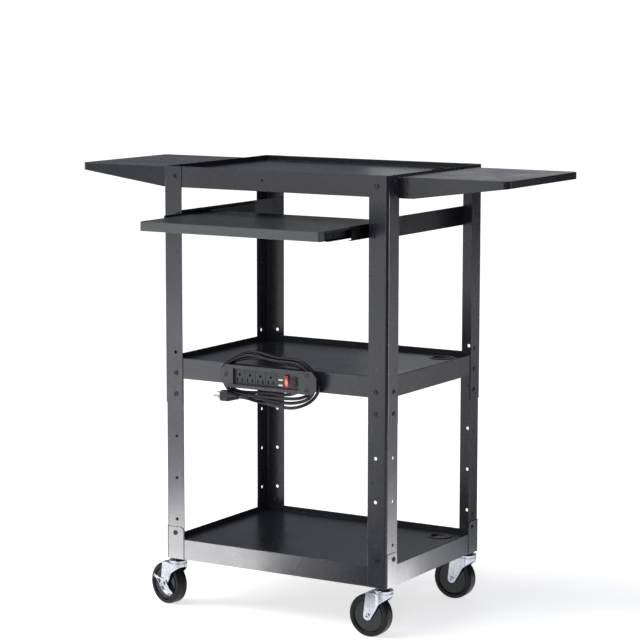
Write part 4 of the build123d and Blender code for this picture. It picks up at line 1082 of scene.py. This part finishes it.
@dataclass(frozen=True)
class FloorCard:
    """A flat dark card that lies on the floor and that only the cart's gloss sees.

    Attributes:
        name: Name of the card.
        middle: Its middle, X and Y, in metres.
        size: Its width and length.
        turn: Degrees that its length is turned from straight back towards the right.
        lift: Its height over the floor, in metres.
    """

    name: str
    middle: tuple[float, float]
    size: tuple[float, float]
    turn: float
    lift: float = 0.005

    def stand(self, felt: bpy.types.Material) -> None:
        """Lay the card on the floor.

        Args:
            felt: Its material.
        """
        wide, long = self.size[0] / 2, self.size[1] / 2
        corners = [(-wide, -long, 0.0), (wide, -long, 0.0), (wide, long, 0.0), (-wide, long, 0.0)]
        card = make_mesh(self.name, corners, [(0, 1, 2, 3)], felt)
        turned = Matrix.Rotation(math.radians(-self.turn), 4, "Z")
        card.matrix_world = Matrix.Translation((*self.middle, self.lift)) @ turned
        show_to_gloss(card)


def show_to_gloss(card: bpy.types.Object) -> None:
    """Hide a stage piece from all but glossy rays.

    Args:
        card: The piece.
    """
    for ray in ("camera", "diffuse", "shadow", "transmission", "volume_scatter"):
        setattr(card, f"visible_{ray}", False)


@dataclass
class Studio:
    """White floor, soft light and the picture's camera. Places and sizes are in metres.

    Attributes:
        floor_colour: Colour of the floor and the far walls.
        floor_half: Half the width of the floor.
        wall_height: Height of the walls at its edges.
        wall_lift: How much the walls are lifted towards white.
        floor_lift: How much the floor is.
        room_light: Strength of the even light.
        room_colour: Its colour.
        sun_strength: Strength of the wide far lamp.
        sun_spread: Its width as seen from the cart, in degrees.
        sun_from: Direction that it shines from.
        card_colour: Colour of the dark cards.
        lens: Focal length of the camera, in millimetres.
        sensor: Width of its sensor, in millimetres.
        eye: Place of the camera.
        yaw: Its turn to the left, in radians.
        pitch: How far it looks down, in radians.
        roll: Its turn about its own axis, in radians.
        legs: The coated pieces at the corners that the edge lamp is kept to.
        flats: The other pieces that the floor lamps light.
        lamps: The lamps near the cart.
        cards: The dark cards.
    """

    floor_colour: Colour = (0.9, 0.9, 0.9)
    floor_half: float = 400.0
    wall_height: float = 8.0
    wall_lift: float = 1.0
    floor_lift: float = 0.64
    room_light: float = 0.2
    room_colour: Colour = (0.95, 0.98, 1.1)
    sun_strength: float = 1.3
    sun_spread: float = 40.0
    sun_from: Place = (-0.45, -0.5, 0.9)
    card_colour: Colour = (0.012, 0.012, 0.014)
    lens: float = 133.85
    sensor: float = 36.0
    eye: Place = (2.9137, -4.8533, 1.4664)
    yaw: float = 0.5423
    pitch: float = 0.1356
    roll: float = 0.0013
    legs: tuple[str, ...] = (
        "corner_posts", "upper_leg_front_left", "lower_leg_front_left", "upper_leg_front_right",
        "lower_leg_front_right")
    flats: tuple[str, ...] = (
        "top_shelf", "middle_shelf", "bottom_shelf", "keyboard_tray", "strip_plate", "strip_face",
        "strip_housing")
    lamps: tuple[Lamp, ...] = (
        Lamp("key_lamp", (-4.3, -2.4, 2.2), (0.0, 0.0, 0.6), (2.4, 2.4), 110.0, mirrored=False),
        Lamp("front_lamp", (-1.6, -6.5, 1.2), (0.0, 0.0, 0.6), (1.5, 2.0), 25.0),
        Lamp("fill_lamp", (2.6, -5.2, 1.3), (0.0, 0.0, 0.5), (1.6, 1.2), 90.0, mirrored=False),
        Lamp("back_lamp", (-0.45, 1.9, 1.2), (0.4, 0.0, 0.95), (0.9, 0.5), 0.65),
        Lamp("edge_lamp", (1.84, 0.86, 0.7), (0.28, -0.24, 0.7),
             (0.2, 1.3), 12.0, lights=Reach.LEGS),
        Lamp("left_floor_lamp", (-0.58, -0.72, 0.02), (-0.58, -0.72, 1.0),
             (0.4, 0.85), 15.5, 34.6, lights=Reach.COAT),
        Lamp("far_left_floor_lamp", (-2.7, -3.8, 0.02), (-2.7, -3.8, 1.0),
             (1.0, 3.0), 30.0, 34.6, lights=Reach.COAT),
        Lamp("right_floor_lamp", (0.58, 0.11, 0.02), (0.58, 0.11, 1.0),
             (0.28, 0.5), 4.2, 29.5, lights=Reach.COAT),
        Lamp("far_right_floor_lamp", (0.93, 0.72, 0.02), (0.93, 0.72, 1.0),
             (0.25, 0.8), 2.6, 29.5, lights=Reach.COAT))
    cards: tuple[Card | FloorCard, ...] = (
        Card("right_card", (0.28, -0.235), 1.8, 0.0, 1.4, -10.0, 112.0),
        Card("left_card", (-0.28, -0.235), 5.0, 0.42, 3.0, -62.0, -36.0),
        Card("back_card", (0.28, 0.2), 5.0, 0.25, 3.0, 132.0, 172.0),
        FloorCard("back_floor_card", (1.39, 3.02), (0.8, 5.0), 27.5),
        FloorCard("front_floor_card", (-0.23, -1.63), (0.7, 2.27), 29.7))

    def build(self) -> None:
        """Set the floor, world, lamps, cards and camera."""
        self.lay_floor()
        self.light_room()
        self.hang_lamps()
        self.hang_sun()
        self.stand_cards()
        self.set_camera()

    def hang_lamps(self) -> None:
        """Hang the near lamps, some of them kept to the coated pieces."""
        lit = {}
        for reach, names in ((Reach.COAT, (*self.legs, *self.flats)), (Reach.LEGS, self.legs)):
            lit[reach] = bpy.data.collections.new(reach.value)
            for name in names:
                lit[reach].objects.link(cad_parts[name])
        for lamp in self.lamps:
            lamp.hang(lit)

    def lay_floor(self) -> None:
        """Lay a wide white floor that keeps the cart's shadow, with low white walls far away."""
        half = self.floor_half
        ring = [(-half, -half), (half, -half), (half, half), (-half, half)]
        corners = [(x, y, z) for z in (0.0, self.wall_height) for x, y in ring]
        walls = [(n, (n + 1) % 4, (n + 1) % 4 + 4, n + 4) for n in range(4)]
        floor = make_mesh("floor", corners, [(0, 1, 2, 3), *walls],
                          self.white_stuff("white_floor", self.floor_lift),
                          self.white_stuff("white_wall", self.wall_lift))
        for wall in floor.data.polygons[1:]:
            wall.material_index = 1

    def white_stuff(self, name: str, amount: float) -> bpy.types.Material:
        """Make a white matt material that camera, gloss and glass see lifted towards white.

        Args:
            name: Name of the material.
            amount: Strength of the lift.

        Returns:
            The material.
        """
        material, graph = make_material(name)
        paint = graph.add("ShaderNodeBsdfDiffuse")
        paint.inputs["Color"].default_value = (*self.floor_colour, 1.0)
        rays = graph.add("ShaderNodeLightPath").outputs
        seen = graph.sum_up("MAXIMUM", rays["Is Camera Ray"], rays["Is Glossy Ray"])
        seen = graph.sum_up("MAXIMUM", seen, rays["Is Transmission Ray"])
        glow = graph.add("ShaderNodeEmission")
        graph.feed(graph.sum_up("MULTIPLY", seen, amount), glow.inputs["Strength"])
        total = graph.add("ShaderNodeAddShader")
        graph.feed(paint.outputs["BSDF"], total.inputs[0])
        graph.feed(glow.outputs["Emission"], total.inputs[1])
        out = graph.add("ShaderNodeOutputMaterial")
        graph.feed(total.outputs["Shader"], out.inputs["Surface"])
        return material

    def light_room(self) -> None:
        """Give a dim even room."""
        world = bpy.data.worlds.new("dim_room")
        bpy.context.scene.world = world
        world.use_nodes = True
        graph = Graph(world.node_tree)
        back = graph.add("ShaderNodeBackground")
        back.inputs["Color"].default_value = (*self.room_colour, 1.0)
        back.inputs["Strength"].default_value = self.room_light
        out = graph.add("ShaderNodeOutputWorld")
        graph.feed(back.outputs["Background"], out.inputs["Surface"])

    def hang_sun(self) -> None:
        """Hang one wide far lamp, which lights the whole floor alike."""
        light = bpy.data.lights.new("far_lamp", "SUN")
        light.energy = self.sun_strength
        light.angle = math.radians(self.sun_spread)
        lamp = place_object("far_lamp", light)
        lamp.rotation_euler = (-Vector(self.sun_from)).to_track_quat("-Z", "Y").to_euler()

    def stand_cards(self) -> None:
        """Stand the dark cards, cut from one felt."""
        material, graph = make_material("card_felt")
        felt = graph.add("ShaderNodeBsdfDiffuse")
        felt.inputs["Color"].default_value = (*self.card_colour, 1.0)
        out = graph.add("ShaderNodeOutputMaterial")
        graph.feed(felt.outputs["BSDF"], out.inputs["Surface"])
        for card in self.cards:
            card.stand(material)

    def set_camera(self) -> None:
        """Place the camera as the picture was taken."""
        view = bpy.data.cameras.new("camera")
        view.lens = self.lens
        view.sensor_width = self.sensor
        view.clip_end = 2 * self.floor_half
        camera = place_object("camera", view)
        yaw = Matrix.Rotation(self.yaw, 4, "Z")
        tilt = Matrix.Rotation(math.pi / 2 - self.pitch, 4, "X")
        roll = Matrix.Rotation(self.roll, 4, "Z")
        camera.matrix_world = Matrix.Translation(self.eye) @ yaw @ tilt @ roll
        bpy.context.scene.camera = camera


def set_view() -> None:
    """Keep the picture's plain view transform."""
    bpy.context.scene.view_settings.view_transform = "Standard"


def main() -> None:
    """Build and dress every part of the scene."""
    logging.basicConfig(level=logging.INFO, format="%(name)s: %(message)s")
    set_view()
    Studio().build()
    shop = Workshop()
    cord = PowerCord()
    cord.build(shop)
    cord.build_boot(shop)
    for assembly in (SteelFrame(), DropLeaves(), KeyboardTray(), Casters(), PowerStrip()):
        assembly.dress(shop)


if __name__ == "__main__":
    main()
